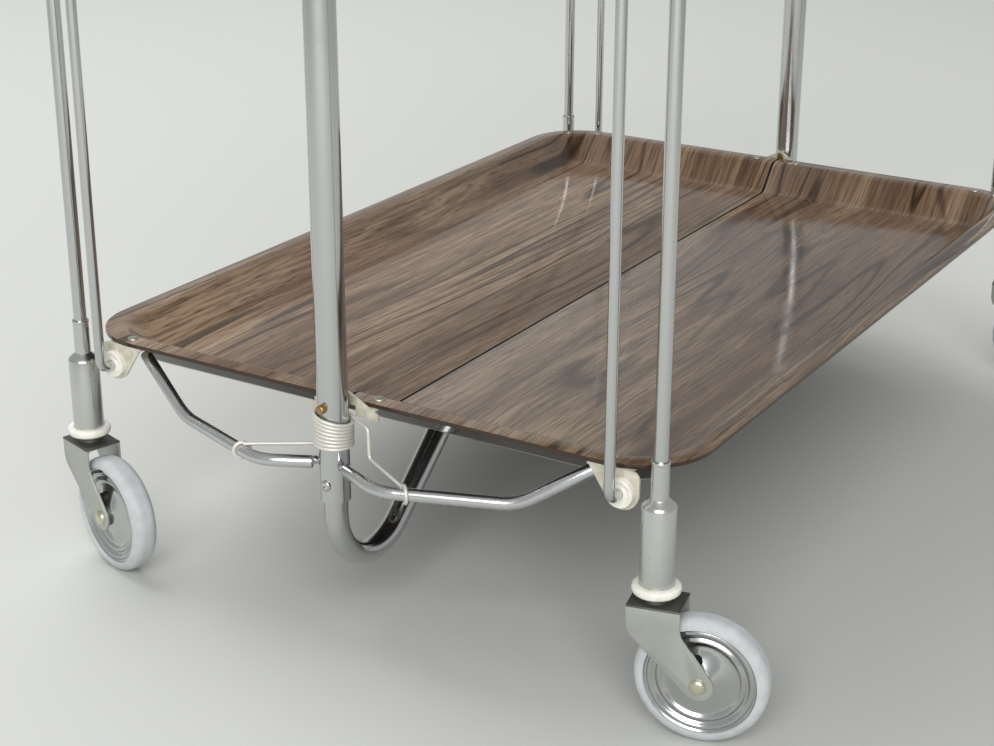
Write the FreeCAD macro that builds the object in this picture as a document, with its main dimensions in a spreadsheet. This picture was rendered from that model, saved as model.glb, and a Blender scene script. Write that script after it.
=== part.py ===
import FreeCAD, Part
import math
import os

import Sketcher
from FreeCAD import Placement, Rotation, Vector

# Folding two-tier serving trolley.  Frame: +X along the trays, +Y across them, +Z up, origin on
# the floor under the middle of the trays.  Right is -Y, left is +Y, near is -X, far is +X.
# Each tray is two halves that meet at a lengthwise seam.  Lifting the two posts folds every half
# downwards about the hooked inner ends of its arms, while the four legs stay upright.

DIMENSIONS = [
    # trays
    ("tray_length", 610, "over the lips, along X"),
    ("tray_width", 420, "over the lips of both halves"),
    ("tray_corner", 45, "plan radius of the lip at a corner"),
    ("sheet_gauge", 2.6, "thickness of the pressed laminate"),
    ("lip_top", 151.4, "top of the lower lip above the floor"),
    ("tray_drop", 21.3, "lip top down to tray floor"),
    ("flange_run", 13, "flat width of the lip"),
    ("rim_run", 31, "lip edge in to the foot of the rim"),
    ("rim_bend", 8, "outer bend radius where the lip turns down"),
    ("foot_bend", 10, "inner bend radius where the rim meets the floor"),
    ("seam_gap", 0.8, "gap between the two halves"),
    ("tier_rise", 360, "lower tray up to upper tray"),
    # gaps
    ("seat_gap", 0.3, "gap where one piece rests by another"),
    ("hole_play", 0.15, "radial clearance of screws, pins and rivets"),
    # posts and bow
    ("post_gap", 14.1, "post axis beyond the end of the lip"),
    ("post_radius", 9, "outside of the post tube"),
    ("post_wall", 1.6, "wall of the post tube"),
    ("post_skirt", 8.5, "post tube below its clamp screw"),
    ("cane_rise", 73.6, "upper lip to the start of the handle bend"),
    ("cane_radius", 30, "centre-line radius of the handle bend"),
    ("cane_tail", 24, "straight tail after the handle bend"),
    ("cane_flat", 4, "straight top of the handle"),
    ("cap_height", 5, "visible height of the handle end cap"),
    ("cap_round", 1.5, "chamfer round the foot of the cap"),
    ("cap_plug", 12, "length of the cap's plug in the tube"),
    ("bow_fit", 0.2, "radial clearance of the bow in the post"),
    ("bow_wall", 1.4, "wall of the bow tube"),
    ("bow_corner_z", 21.9, "where post axis and incline would meet"),
    ("bow_bend", 25.4, "centre-line radius of the bend near the floor"),
    ("bow_slope", 34.4, "incline of the bow in degrees"),
    ("bow_ease", 60, "centre-line radius below the tray"),
    ("screw_below", 7.5, "clamp screw below the upper end of the bow"),
    ("screw_radius", 1.7, "clamp screw shank"),
    ("screw_head", 3.3, "clamp screw head radius"),
    ("screw_brim", 0.8, "straight edge of the screw head"),
    ("screw_crown", 2, "height of the screw head"),
    ("screw_depth", 8, "shank length"),
    # arms
    ("arm_radius", 3.1, "bent support arm"),
    ("knuckle_radius", 2.3, "rounded root of an arm, about the fold axis"),
    ("knuckle_length", 4, "width of that root"),
    ("pivot_drop", 35.1, "fold axis below the lip"),
    ("hook_out", 3.9, "hooked end of an arm beyond the post axis"),
    ("hook_radius", 1.4, "turned-down neck of an arm"),
    ("hook_y", 4.1, "axis of the turned-down tip"),
    ("hook_drop", 4, "length of the turned-down tip"),
    ("slot_width", 3.6, "slot in the post wall"),
    ("slot_below", 2, "slot below the fold axis"),
    ("slot_above", 9.5, "slot above the fold axis"),
    ("arm_bow_out", 35, "outermost bend of an arm beyond the lip"),
    ("arm_bow_y", 50.5, "outermost bend of an arm"),
    ("arm_bow_bend", 12, "radius of that bend"),
    ("arm_turn_out", 8, "second bend of an arm beyond the lip"),
    ("arm_turn_in", 91, "second bend in from the side of the tray"),
    ("arm_turn_bend", 16, "radius of that bend"),
    ("arm_rise_under", 5, "third bend of an arm in from the end of the lip"),
    ("arm_rise_in", 56, "third bend in from the side of the tray"),
    ("arm_rise_drop", 14.9, "third bend below the lip"),
    ("arm_rise_bend", 8, "radius of that bend"),
    ("arm_end_under", 9, "outer end of an arm in from the end of the lip"),
    ("arm_end_in", 48.5, "outer end of an arm in from the side of the tray"),
    ("arm_sag", 2, "rise of the two middle bends over the fold axis"),
    # spring
    ("wire_radius", 1.15, "spring wire"),
    ("coil_radius", 10.9, "mean radius of the spring"),
    ("coil_pitch", 2.7, "rise of one turn"),
    ("coil_turns", 8, "turns of the spring"),
    ("coil_groove", 1.3, "depth of the grooves between the turns"),
    ("coil_rise", 10.3, "foot of the spring above the fold axis"),
    ("tail_y", 56, "where a spring tail loops round an arm"),
    ("tail_low_y", 14, "bend of the lower tail"),
    ("tail_low_bend", 12, "radius of that bend"),
    ("tail_high_y", 25, "first bend of the upper tail"),
    ("tail_knee_y", 34, "second bend of the upper tail"),
    ("tail_knee_rise", 3, "second bend above the lower tail"),
    ("tail_bend", 5, "radius of both bends"),
    ("loop_gap", 0.3, "spring loop clear of the arm"),
    ("eye_gap", 1, "end of a tail to its loop"),
    # stop pegs
    ("peg_radius", 2.7, "peg through the post"),
    ("peg_rise", 1.2, "peg axis above the lip"),
    ("peg_overhang", 3.4, "peg beyond the post towards the outside"),
    ("peg_crown", 0.6, "height of the peg's chamfer"),
    ("peg_round", 0.8, "width of the peg's chamfer"),
    # brackets, bushes and rivets
    ("plate_gauge", 1.6, "bracket plate"),
    ("plate_flange", 9.2, "inner edge of the bracket flanges in from the end of the lip"),
    ("bracket_set", 0.4, "outer face of a corner bracket in from the end of the lip"),
    ("bracket_run", 21, "corner bracket inwards from its pivot"),
    ("bracket_round", 5, "rounded upper corner of a corner bracket"),
    ("hanger_in", 32, "leg pivots in from the side of the tray"),
    ("hanger_drop", 15.6, "leg pivots below the lip"),
    ("hanger_round", 10.5, "rounded foot of a corner bracket"),
    ("bush_radius", 8.5, "white pivot bush"),
    ("bush_face", 4, "thickness of its flange"),
    ("bush_round", 1, "rounded edge of its flange"),
    ("bush_hub", 4.4, "hub through the bracket"),
    ("bush_play", 0.1, "radial clearance of the rod in the bush"),
    ("ear_gap", 0.5, "inner face of the right-hand ears beyond the end of the lip"),
    ("ear_nose", 2.6, "nose of an ear past the middle plane"),
    ("ear_nose_rise", 5.9, "top of the nose above the peg axis"),
    ("ear_length", 22.5, "ear along Y"),
    ("ear_tail_drop", 5.9, "top of the tail below the lip"),
    ("ear_foot_drop", 9.4, "lower edge below the lip"),
    ("ear_step", 7.2, "lower edge starts here, clear of the spring"),
    ("ear_flange_y", 9.5, "start of the ear's flange"),
    ("ear_flange_end", 20.5, "end of the ear's flange"),
    ("rivet_edge", 7.4, "rivets in from the end of the lip"),
    ("rivet_corner_in", 41.5, "corner rivets in from the side of the tray"),
    ("rivet_centre_y", 17.2, "centre rivets"),
    ("rivet_head", 3.4, "rivet head radius"),
    ("rivet_shank", 1.6, "rivet shank radius"),
    ("rivet_crown", 1.4, "height of a rivet head"),
    ("rivet_round", 1.3, "rounding of a rivet head"),
    ("rivet_tail", 2.6, "radius of the upset tail"),
    ("rivet_tail_height", 1.1, "height of the upset tail"),
    # legs
    ("rod_radius", 3.1, "hanger rod"),
    ("rod_out", 13, "hanger rod axis beyond the end of the lip"),
    ("rod_bend", 6.5, "bend of the rod into its bush"),
    ("rod_washer", 5, "upset washer on the rod's end"),
    ("rod_washer_gauge", 1.2, "thickness of that washer"),
    ("leg_out", 2.5, "leg tube axis beyond the end of the lip"),
    ("leg_in", 7.7, "leg tube axis in from the side of the tray"),
    ("leg_radius", 4, "leg tube"),
    ("leg_wall", 0.85, "wall of the leg tube"),
    ("leg_rise", 39.2, "upper end of the leg tube above the upper leg pivot"),
    ("rod_plug", 14, "hanger rod inside the leg tube"),
    ("arch_bend", 13, "bend of the rod over the top of its leg tube"),
    ("ferrule_height", 21.8, "ferrule above the socket"),
    ("ferrule_radius", 5.3, "ferrule"),
    ("socket_radius", 9.5, "caster socket"),
    ("socket_height", 55.6, "socket with its shoulder"),
    ("socket_shoulder", 3.6, "height of the conical shoulder"),
    ("socket_depth", 43.6, "bore for the swivel stem"),
    ("socket_web", 6, "thickness of the solid web over that bore"),
    ("ring_rise", 0.9, "white ring above the foot of the socket"),
    ("ring_radius", 13.5, "white ring"),
    ("ring_height", 5.4, "white ring"),
    ("ring_round", 2.2, "edge radius of the ring"),
    # casters
    ("stem_radius", 5.5, "swivel stem"),
    ("stem_play", 0.1, "radial clearance of the stem"),
    ("collar_radius", 8, "dark collar under the socket"),
    ("collar_gap", 3.2, "fork plate to the foot of the socket"),
    ("wheel_room", 5.2, "top of the fork plate above the wheel"),
    ("fork_gauge", 1.6, "fork plate"),
    ("cheek_gap", 1.5, "tyre to the inside of a cheek"),
    ("fork_back", 13.8, "fork behind the stem"),
    ("fork_front", 16, "fork ahead of the stem"),
    ("fork_tip", 8.5, "rounded foot of a cheek"),
    ("fork_bend", 2, "inner bend of the fork plate"),
    ("waist_back", 13.3, "rear corner of a cheek behind the stem"),
    ("waist_back_drop", 15.7, "rear corner of a cheek below the fork plate"),
    ("waist_front_drop", 14.2, "front corner of a cheek below the fork plate"),
    ("waist_round", 12, "rounding of both corners"),
    ("trail", 27, "axle behind the swivel axis"),
    ("wheel_radius", 37.5, "tyre"),
    ("wheel_width", 18, "tyre"),
    ("tyre_height", 8, "tyre from its seat to its tread"),
    ("tyre_round", 7.4, "roundness of the tyre's section"),
    ("disc_width", 13.4, "pressed disc at its rim"),
    ("rim_in", 3.4, "curl of the disc's rim in from the tyre's seat"),
    ("groove_in", 5.8, "groove in from the tyre's seat"),
    ("groove_half", 4.3, "half thickness in the groove"),
    ("ridge_in", 7.6, "rolled ridge in from the tyre's seat"),
    ("ridge_half", 5.2, "half thickness over the ridge"),
    ("dish_in", 9.6, "dish in from the tyre's seat"),
    ("dish_half", 3.5, "half thickness in the dish"),
    ("dish_round", 1.5, "rounding of the rolled forms"),
    ("disc_hole_r", 11.8, "middle of the oval hole from the axle"),
    ("disc_hole_length", 15, "oval hole round the disc"),
    ("disc_hole_width", 6.4, "oval hole outwards"),
    ("disc_hole_round", 3, "rounding of the oval hole"),
    ("disc_turn", 30, "turn of the wheels as they stand, about their axles"),
    ("hub_radius", 6, "hub"),
    ("hub_play", 0.5, "hub to the inside of a cheek"),
    ("axle_radius", 3, "axle"),
    ("axle_play", 0.08, "radial clearance of the axle in the hub"),
    ("axle_head", 4.6, "domed axle head"),
    ("axle_crown", 2.4, "height of that head"),
    ("axle_round", 2.2, "rounding of that head"),
    ("heading_near_right", -77, "caster from the swivel axis towards its axle, about +Z from +X"),
    ("heading_near_left", -107, "caster direction"),
    ("heading_far_right", -80, "caster direction"),
    ("heading_far_left", 100, "caster direction"),
]

# what follows from the driving sizes, as formulas of the sheet
DERIVED = [
    ("half_length", "tray_length / 2"),
    ("half_width", "tray_width / 2"),
    ("seam_half", "seam_gap / 2"),
    ("lip_under", "lip_top - sheet_gauge"),
    ("floor_top", "lip_top - tray_drop"),
    ("floor_under", "floor_top - sheet_gauge"),
    ("foot_x", "half_length - rim_run"),
    ("rim_slope", "atan(tray_drop / (rim_run - flange_run))"),
    ("rim_shift", "sheet_gauge * tan(rim_slope / 2)"),
    ("rim_bend_under", "rim_bend - sheet_gauge"),
    ("foot_bend_under", "foot_bend + sheet_gauge"),
    ("lap_run", "rim_run + foot_bend * tan(rim_slope / 2) + sheet_gauge"),
    ("lap_x", "half_length - lap_run"),
    ("flange_end_x", "half_length - flange_run"),
    ("flange_end_under", "flange_end_x + rim_shift"),
    ("foot_under", "foot_x + rim_shift"),
    ("corner_x", "half_length - tray_corner"),
    ("corner_y", "half_width - tray_corner"),
    ("floor_corner", "tray_corner - lap_run + sheet_gauge / 2"),
    ("floor_x", "corner_x + floor_corner"),
    ("post_x", "half_length + post_gap"),
    ("pivot_y", "post_radius + knuckle_radius"),
    ("pivot_z", "lip_top - pivot_drop"),
    ("bow_insert", "pivot_z - hook_drop - seat_gap"),
    ("screw_z", "bow_insert - screw_below"),
    ("post_foot", "screw_z - post_skirt"),
    ("upper_lip", "lip_top + tier_rise"),
    ("cane_start", "upper_lip + cane_rise"),
    ("cane_end_x", "post_x - 2 * cane_radius - cane_flat"),
    ("cane_peak", "cane_start + cane_radius"),
    ("cane_end_z", "cane_start - cane_tail"),
    ("cap_foot", "cane_end_z - cap_height"),
    ("cap_flat", "post_radius - cap_round"),
    ("cap_shoulder", "cap_foot + cap_round"),
    ("cap_plug_top", "cane_end_z + cap_plug"),
    ("post_bore", "post_radius - post_wall"),
    ("cap_fit", "post_bore - hole_play"),
    ("hook_x", "post_x + hook_out"),
    ("slot_out", "hook_x + slot_width / 2"),
    ("slot_in", "hook_x - slot_width / 2"),
    ("slot_foot", "pivot_z - slot_below"),
    ("slot_head", "pivot_z + slot_above"),
    ("upper_slot_foot", "slot_foot + tier_rise"),
    ("upper_slot_head", "slot_head + tier_rise"),
    ("peg_z", "lip_top + peg_rise"),
    ("upper_peg_z", "peg_z + tier_rise"),
    ("screw_hole", "screw_radius + hole_play"),
    ("screw_seat", "post_x + post_radius"),
    ("screw_edge", "screw_seat + screw_brim"),
    ("screw_top", "screw_seat + screw_crown"),
    ("screw_tip", "screw_seat - screw_depth"),
    ("peg_inner", "half_length + seat_gap"),
    ("peg_outer", "screw_seat + peg_overhang"),
    ("peg_top", "peg_outer + peg_crown"),
    ("peg_tip", "peg_radius - peg_round"),
    ("bow_radius", "post_bore - bow_fit"),
    ("bow_bore", "bow_radius - bow_wall"),
    ("bow_level", "floor_under - seat_gap - bow_radius"),
    ("bow_knee_x", "post_x - (bow_level - bow_corner_z) / tan(bow_slope)"),
    ("flange_under", "lip_under - plate_gauge"),
    ("arm_run_z", "pivot_z + arm_sag"),
    ("arm_bow_x", "half_length + arm_bow_out"),
    ("arm_turn_x", "half_length + arm_turn_out"),
    ("arm_turn_y", "half_width - arm_turn_in"),
    ("arm_rise_x", "half_length - arm_rise_under"),
    ("arm_rise_y", "half_width - arm_rise_in"),
    ("arm_rise_z", "lip_top - arm_rise_drop"),
    ("arm_end_x", "half_length - arm_end_under"),
    ("arm_end_y", "half_width - arm_end_in"),
    ("arm_end_z", "flange_under - seat_gap - arm_radius"),
    ("coil_foot", "pivot_z + coil_rise"),
    ("coil_height", "coil_turns * coil_pitch"),
    ("coil_inner", "coil_radius - wire_radius"),
    ("coil_outer", "coil_radius + wire_radius"),
    ("rivet_x", "half_length - rivet_edge"),
    ("rivet_corner_y", "half_width - rivet_corner_in"),
    ("rivet_foot", "flange_under - rivet_tail_height"),
    ("rivet_top", "lip_top + rivet_crown"),
    ("rivet_hole", "rivet_shank + hole_play"),
    ("flange_in", "half_length - plate_flange"),
    ("ear_layer", "half_length + ear_gap"),
    ("ear_right_outer", "ear_layer + plate_gauge"),
    ("ear_left_outer", "ear_right_outer + seat_gap + plate_gauge"),
    ("ear_top", "peg_z + ear_nose_rise"),
    ("ear_tail", "lip_top - ear_tail_drop"),
    ("ear_foot", "lip_top - ear_foot_drop"),
    ("ear_step_z", "coil_foot + coil_height + seat_gap"),
    ("ear_notch", "peg_radius + seat_gap"),
    ("ear_notch_top", "peg_z + ear_notch"),
    ("hanger_y", "half_width - hanger_in"),
    ("hanger_z", "lip_top - hanger_drop"),
    ("upper_hanger_z", "hanger_z + tier_rise"),
    ("hanger_face", "half_length - bracket_set"),
    ("plate_in", "hanger_face - plate_gauge"),
    ("bracket_inner", "hanger_y - bracket_run"),
    ("bracket_outer", "hanger_y + hanger_round"),
    ("bracket_flat", "bracket_outer - bracket_round"),
    ("bush_bore", "rod_radius + bush_play"),
    ("bush_hole", "bush_hub + hole_play"),
    ("bush_outer", "hanger_face + bush_face"),
    ("bush_inner", "plate_in - seat_gap"),
    ("washer_out", "bush_inner - seat_gap"),
    ("washer_in", "washer_out - rod_washer_gauge"),
    ("rod_x", "half_length + rod_out"),
    ("leg_x", "half_length + leg_out"),
    ("leg_y", "half_width - leg_in"),
    ("leg_top", "upper_hanger_z + leg_rise"),
    ("arch_peak", "leg_top + arch_bend"),
    ("rod_foot", "leg_top - rod_plug"),
    ("leg_bore", "leg_radius - leg_wall"),
    ("leg_hole", "leg_radius + hole_play"),
    ("half_wheel", "wheel_width / 2"),
    ("fork_half_gap", "half_wheel + cheek_gap"),
    ("fork_half", "fork_half_gap + fork_gauge"),
    ("fork_width", "2 * fork_half"),
    ("fork_top", "2 * wheel_radius + wheel_room"),
    ("fork_under", "fork_top - fork_gauge"),
    ("waist_back_z", "fork_top - waist_back_drop"),
    ("waist_front_z", "fork_top - waist_front_drop"),
    ("socket_foot", "fork_top + collar_gap"),
    ("socket_top", "socket_foot + socket_height"),
    ("socket_cone", "socket_top - socket_shoulder"),
    ("socket_floor", "socket_foot + socket_depth"),
    ("ferrule_top", "socket_top + ferrule_height"),
    ("leg_seat", "socket_floor + socket_web"),
    ("leg_foot", "leg_seat + seat_gap"),
    ("ring_foot", "socket_foot + ring_rise"),
    ("ring_top", "ring_foot + ring_height"),
    ("ring_bore", "socket_radius + hole_play"),
    ("stem_hole", "stem_radius + stem_play"),
    ("collar_top", "socket_foot - seat_gap"),
    ("stem_top", "socket_floor - seat_gap"),
    ("axle_z", "wheel_radius"),
    ("axle_hole", "axle_radius + axle_play"),
    ("axle_top", "fork_half + axle_crown"),
    ("axle_seat", "axle_radius + hole_play"),
    ("tyre_inner", "wheel_radius - tyre_height"),
    ("tyre_seat", "tyre_inner + hole_play"),
    ("half_disc", "disc_width / 2"),
    ("half_hub", "fork_half_gap - hub_play"),
    ("rim_r", "tyre_inner - rim_in"),
    ("groove_r", "tyre_inner - groove_in"),
    ("ridge_r", "tyre_inner - ridge_in"),
    ("dish_r", "tyre_inner - dish_in"),
    ("disc_hole_half", "disc_hole_length / 2"),
    ("disc_hole_in", "disc_hole_r - disc_hole_width / 2"),
    ("disc_hole_out", "disc_hole_r + disc_hole_width / 2"),
]

doc = FreeCAD.newDocument("serving_trolley")
sheet = doc.addObject("Spreadsheet::Sheet", "Sheet")
for row, (alias, number, meaning) in enumerate(DIMENSIONS, start=1):
    sheet.set(f"A{row}", alias)
    sheet.set(f"B{row}", str(number))
    sheet.set(f"C{row}", meaning)
    sheet.setAlias(f"B{row}", alias)
for row, (alias, formula) in enumerate(DERIVED, start=1):
    sheet.set(f"E{row}", alias)
    sheet.setAlias(f"F{row}", alias)
doc.recompute()
for row, (alias, formula) in enumerate(DERIVED, start=1):
    sheet.set(f"F{row}", "=" + formula)
doc.recompute()

nodes = []


def value(term):
    """Number for a sheet alias, which may carry a leading minus; plain numbers pass through."""
    if not isinstance(term, str):
        return float(term)
    number = getattr(sheet, term.lstrip("-"))
    number = float(getattr(number, "Value", number))
    return -number if term.startswith("-") else number


def bind(thing, prop, term):
    """Tie a property to a sheet cell."""
    if isinstance(term, str):
        sign = "-" if term.startswith("-") else ""
        thing.setExpression(prop, f"{sign}Sheet.{term.lstrip('-')}")


def keep(thing, label):
    """Name a finished sub-part and list it for export."""
    thing.Label = label
    nodes.append(thing)
    return thing


# ---------------------------------------------------------------- sketches and features

def new_body(name):
    return doc.addObject("PartDesign::Body", name)


def new_sketch(body, role, offset=0.0):
    """Sketch on one of the body's own origin planes, moved along that plane's normal."""
    drawing = body.newObject("Sketcher::SketchObject", body.Name + "_sketch")
    plane = next(f for f in body.Origin.OriginFeatures if f.Role == role)
    drawing.AttachmentSupport = [(plane, "")]
    drawing.MapMode = "FlatFace"
    drawing.AttachmentOffset = Placement(Vector(0, 0, value(offset)), Rotation())
    bind(drawing, "AttachmentOffset.Base.z", offset)
    return drawing


def dimension(drawing, kind, places, term):
    """Dimension driven by the sheet."""
    index = drawing.addConstraint(Sketcher.Constraint(kind, *places, value(term)))
    if isinstance(term, str):
        drawing.renameConstraint(index, f"d{index}")
        bind(drawing, f"Constraints.d{index}", term)


def locate(drawing, item, end, u, v):
    """Fix a point of the sketch by its two coordinates."""
    dimension(drawing, "DistanceX", (-1, 1, item, end), u)
    dimension(drawing, "DistanceY", (-1, 1, item, end), v)


def tangent_line(first, second):
    """Ends of the straight line that leaves both discs on its left side."""
    start, start_radius = first
    end, end_radius = second
    span = end - start
    along = span / span.Length
    outward = Vector(along.y, -along.x, 0)
    lean = (start_radius - end_radius) / span.Length
    normal = along * lean + outward * math.sqrt(1 - lean * lean)
    return start + normal * start_radius, end + normal * end_radius


def arc_between(drawing, centre, radius, begin, finish, turns_left):
    """Arc from one point to another round a centre; gives its index and the two end codes."""
    if not turns_left:
        begin, finish = finish, begin
    angles = [math.atan2(p.y - centre.y, p.x - centre.x) for p in (begin, finish)]
    circle = Part.Circle(centre, Vector(0, 0, 1), radius)
    index = drawing.addGeometry(Part.ArcOfCircle(circle, *angles), False)
    return (index, 1, 2) if turns_left else (index, 2, 1)


def draw(drawing, corners, closed=True):
    """Chain of straight lines, drawn anticlockwise where it has discs.

    A corner is (u, v) when sharp, (u, v, radius) when the lines that meet there are rounded off,
    and (u, v, radius, "disc") when the chain runs round a disc about that point.
    """
    count = len(corners)
    points = [Vector(value(c[0]), value(c[1]), 0) for c in corners]
    discs = [value(c[2]) if len(c) == 4 else 0.0 for c in corners]
    edges = [(i, (i + 1) % count) for i in range(count if closed else count - 1)]
    ends = {i: list(tangent_line((points[i], discs[i]), (points[j], discs[j]))) for i, j in edges}
    arcs = {}
    for i, corner in enumerate(corners):
        before = (i - 1) % count
        if len(corner) != 3:
            continue
        come = (points[i] - ends[before][0]).normalize()
        leave = (ends[i][1] - points[i]).normalize()
        turn = math.acos(max(-1.0, min(1.0, come.dot(leave))))
        reach = value(corner[2]) * math.tan(turn / 2)
        ends[before][1] = points[i] - come * reach
        ends[i][0] = points[i] + leave * reach
        left = come.x * leave.y - come.y * leave.x > 0
        side = Vector(-come.y, come.x, 0) * (1 if left else -1)
        arcs[i] = (ends[before][1] + side * value(corner[2]), left)
    lines = {i: drawing.addGeometry(Part.LineSegment(*ends[i]), False) for i, _ in edges}
    for i, corner in enumerate(corners):
        before = (i - 1) % count
        if not closed and i in (0, count - 1):
            line, end = (lines[i], 1) if i == 0 else (lines[before], 2)
            locate(drawing, line, end, corner[0], corner[1])
            continue
        if len(corner) == 2:
            drawing.addConstraint(Sketcher.Constraint("Coincident", lines[before], 2, lines[i], 1))
            locate(drawing, lines[i], 1, corner[0], corner[1])
            continue
        centre, left = (points[i], True) if len(corner) == 4 else arcs[i]
        arc, begin, finish = arc_between(
            drawing, centre, value(corner[2]), ends[before][1], ends[i][0], left)
        drawing.addConstraint(Sketcher.Constraint("Tangent", lines[before], 2, arc, begin))
        drawing.addConstraint(Sketcher.Constraint("Tangent", lines[i], 1, arc, finish))
        dimension(drawing, "Radius", (arc,), corner[2])
        if len(corner) == 4:
            locate(drawing, arc, 3, corner[0], corner[1])
        else:
            mark = drawing.addGeometry(Part.Point(points[i]), True)
            locate(drawing, mark, 1, corner[0], corner[1])
            for line in (lines[before], lines[i]):
                drawing.addConstraint(Sketcher.Constraint("PointOnObject", mark, 1, line))
    return drawing


def draw_circle(drawing, u, v, radius):
    circle = Part.Circle(Vector(value(u), value(v), 0), Vector(0, 0, 1), value(radius))
    index = drawing.addGeometry(circle, False)
    dimension(drawing, "Radius", (index,), radius)
    locate(drawing, index, 3, u, v)
    return drawing


def pad(body, drawing, length, reverse=False, side="One side"):
    feature = body.newObject("PartDesign::Pad", body.Name + "_pad")
    feature.Profile = drawing
    feature.Length = value(length)
    bind(feature, "Length", length)
    feature.SideType = side
    feature.Reversed = reverse
    return feature


def pocket(body, drawing, length=None, reverse=False, side="One side"):
    """Pocket of a given depth, or through everything."""
    feature = body.newObject("PartDesign::Pocket", body.Name + "_pocket")
    feature.Profile = drawing
    feature.SideType = side
    feature.Reversed = reverse
    if length is None:
        feature.Type = "ThroughAll"
    else:
        feature.Length = value(length)
        bind(feature, "Length", length)
    return feature


def revolve(body, drawing, axis):
    feature = body.newObject("PartDesign::Revolution", body.Name + "_revolution")
    feature.Profile = drawing
    feature.ReferenceAxis = (drawing, [axis])
    feature.Angle = 360
    return feature


def pipe(body, section, spine):
    feature = body.newObject("PartDesign::AdditivePipe", body.Name + "_pipe")
    feature.Profile = section
    feature.Spine = spine
    return feature


def turned(name, corners, axis="H_Axis", role="XZ_Plane"):
    """Body turned from one outline."""
    body = new_body(name)
    revolve(body, draw(new_sketch(body, role), corners), axis)
    return body


# ---------------------------------------------------------------- copies

ALONG = Vector(1, 0, 0)
ACROSS = Vector(0, 1, 0)
UPWARDS = Vector(0, 0, 1)


def place(thing, x=0.0, y=0.0, z=0.0, turn=0.0, about=UPWARDS):
    """Set and drive a placement, with an optional turn about one axis."""
    rotation = Rotation(about, value(turn))
    thing.Placement = Placement(Vector(value(x), value(y), value(z)), rotation)
    for prop, term in (("x", x), ("y", y), ("z", z)):
        bind(thing, f"Placement.Base.{prop}", term)
    bind(thing, "Placement.Rotation.Angle", turn)
    return thing


def mirror(thing, normal):
    copy = doc.addObject("Part::Mirroring", thing.Name + "_mirror")
    copy.Source = thing
    copy.Normal = normal
    return copy


def group(name, things):
    joined = doc.addObject("Part::Compound", name)
    joined.Links = things
    return joined


def both_ends(name, things):
    """Pieces at the near end with their copies at the far end."""
    return group(name, things + [mirror(thing, ALONG) for thing in things])


def raised(name, thing):
    return place(group(name, [thing]), z="tier_rise")


# ---------------------------------------------------------------- bent rods

def rod_wire(points, bends):
    """Straight runs through the points with an arc at each inner one."""
    edges = []
    start = points[0]
    for before, corner, after, bend in zip(points, points[1:], points[2:], bends):
        come = (corner - before).normalize()
        leave = (after - corner).normalize()
        turn = math.acos(come.dot(leave))
        reach = bend * math.tan(turn / 2)
        begin = corner - come * reach
        finish = corner + leave * reach
        inward = (leave - come).normalize()
        middle = corner + inward * (bend / math.cos(turn / 2) - bend)
        edges.append(Part.makeLine(start, begin))
        edges.append(Part.Arc(begin, middle, finish).toShape())
        start = finish
    edges.append(Part.makeLine(start, points[-1]))
    return Part.Wire(edges)


def swept(wire, radius):
    """Round rod along a wire."""
    first = wire.OrderedEdges[0]
    start = first.valueAt(first.FirstParameter)
    heading = first.tangentAt(first.FirstParameter)
    if (wire.OrderedVertexes[0].Point - start).Length > 1e-6:
        start = first.valueAt(first.LastParameter)
        heading = first.tangentAt(first.LastParameter) * -1
    section = Part.Wire(Part.makeCircle(radius, start, heading))
    return wire.makePipeShell([section], True, True)


def coded(name, shape):
    """Piece whose bends lie in no single plane, so that no sketch can carry it."""
    thing = doc.addObject("Part::Feature", name)
    thing.Shape = shape
    thing.Placement = Placement()
    return thing


# ---------------------------------------------------------------- posts, bow and their fittings

def upright():
    """Chromed post with a cane handle, two slots on each tier and cross holes."""
    body = new_body("upright")
    spine = draw(new_sketch(body, "XZ_Plane"), [
        ("-post_x", "post_foot"),
        ("-post_x", "cane_peak", "cane_radius"),
        ("-cane_end_x", "cane_peak", "cane_radius"),
        ("-cane_end_x", "cane_end_z")], closed=False)
    ring = new_sketch(body, "XY_Plane", "post_foot")
    draw_circle(ring, "-post_x", 0, "post_radius")
    draw_circle(ring, "-post_x", 0, "post_bore")
    pipe(body, ring, spine)
    for low, high in (("slot_foot", "slot_head"), ("upper_slot_foot", "upper_slot_head")):
        slot = draw(new_sketch(body, "XZ_Plane"), [
            ("-slot_out", low), ("-slot_in", low), ("-slot_in", high), ("-slot_out", high)])
        pocket(body, slot, side="Symmetric")
    for height in ("peg_z", "upper_peg_z"):
        hole = draw_circle(new_sketch(body, "YZ_Plane"), 0, height, "peg_radius")
        pocket(body, hole)
    hole = draw_circle(new_sketch(body, "YZ_Plane", "-post_x"), 0, "screw_z", "screw_hole")
    pocket(body, hole)
    return body


def bow():
    """Tube that dips from one post nearly to the floor, runs under the seam and rises again."""
    body = new_body("bow")
    spine = draw(new_sketch(body, "XZ_Plane"), [
        ("-post_x", "bow_insert"),
        ("-post_x", "bow_corner_z", "bow_bend"),
        ("-bow_knee_x", "bow_level", "bow_ease"),
        ("bow_knee_x", "bow_level", "bow_ease"),
        ("post_x", "bow_corner_z", "bow_bend"),
        ("post_x", "bow_insert")], closed=False)
    ring = new_sketch(body, "XY_Plane", "bow_insert")
    draw_circle(ring, "-post_x", 0, "bow_radius")
    draw_circle(ring, "-post_x", 0, "bow_bore")
    pipe(body, ring, spine)
    near = draw_circle(new_sketch(body, "YZ_Plane", "-post_x"), 0, "screw_z", "screw_hole")
    pocket(body, near)
    far = draw_circle(new_sketch(body, "YZ_Plane", "post_x"), 0, "screw_z", "screw_hole")
    pocket(body, far, reverse=True)
    return body


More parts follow.
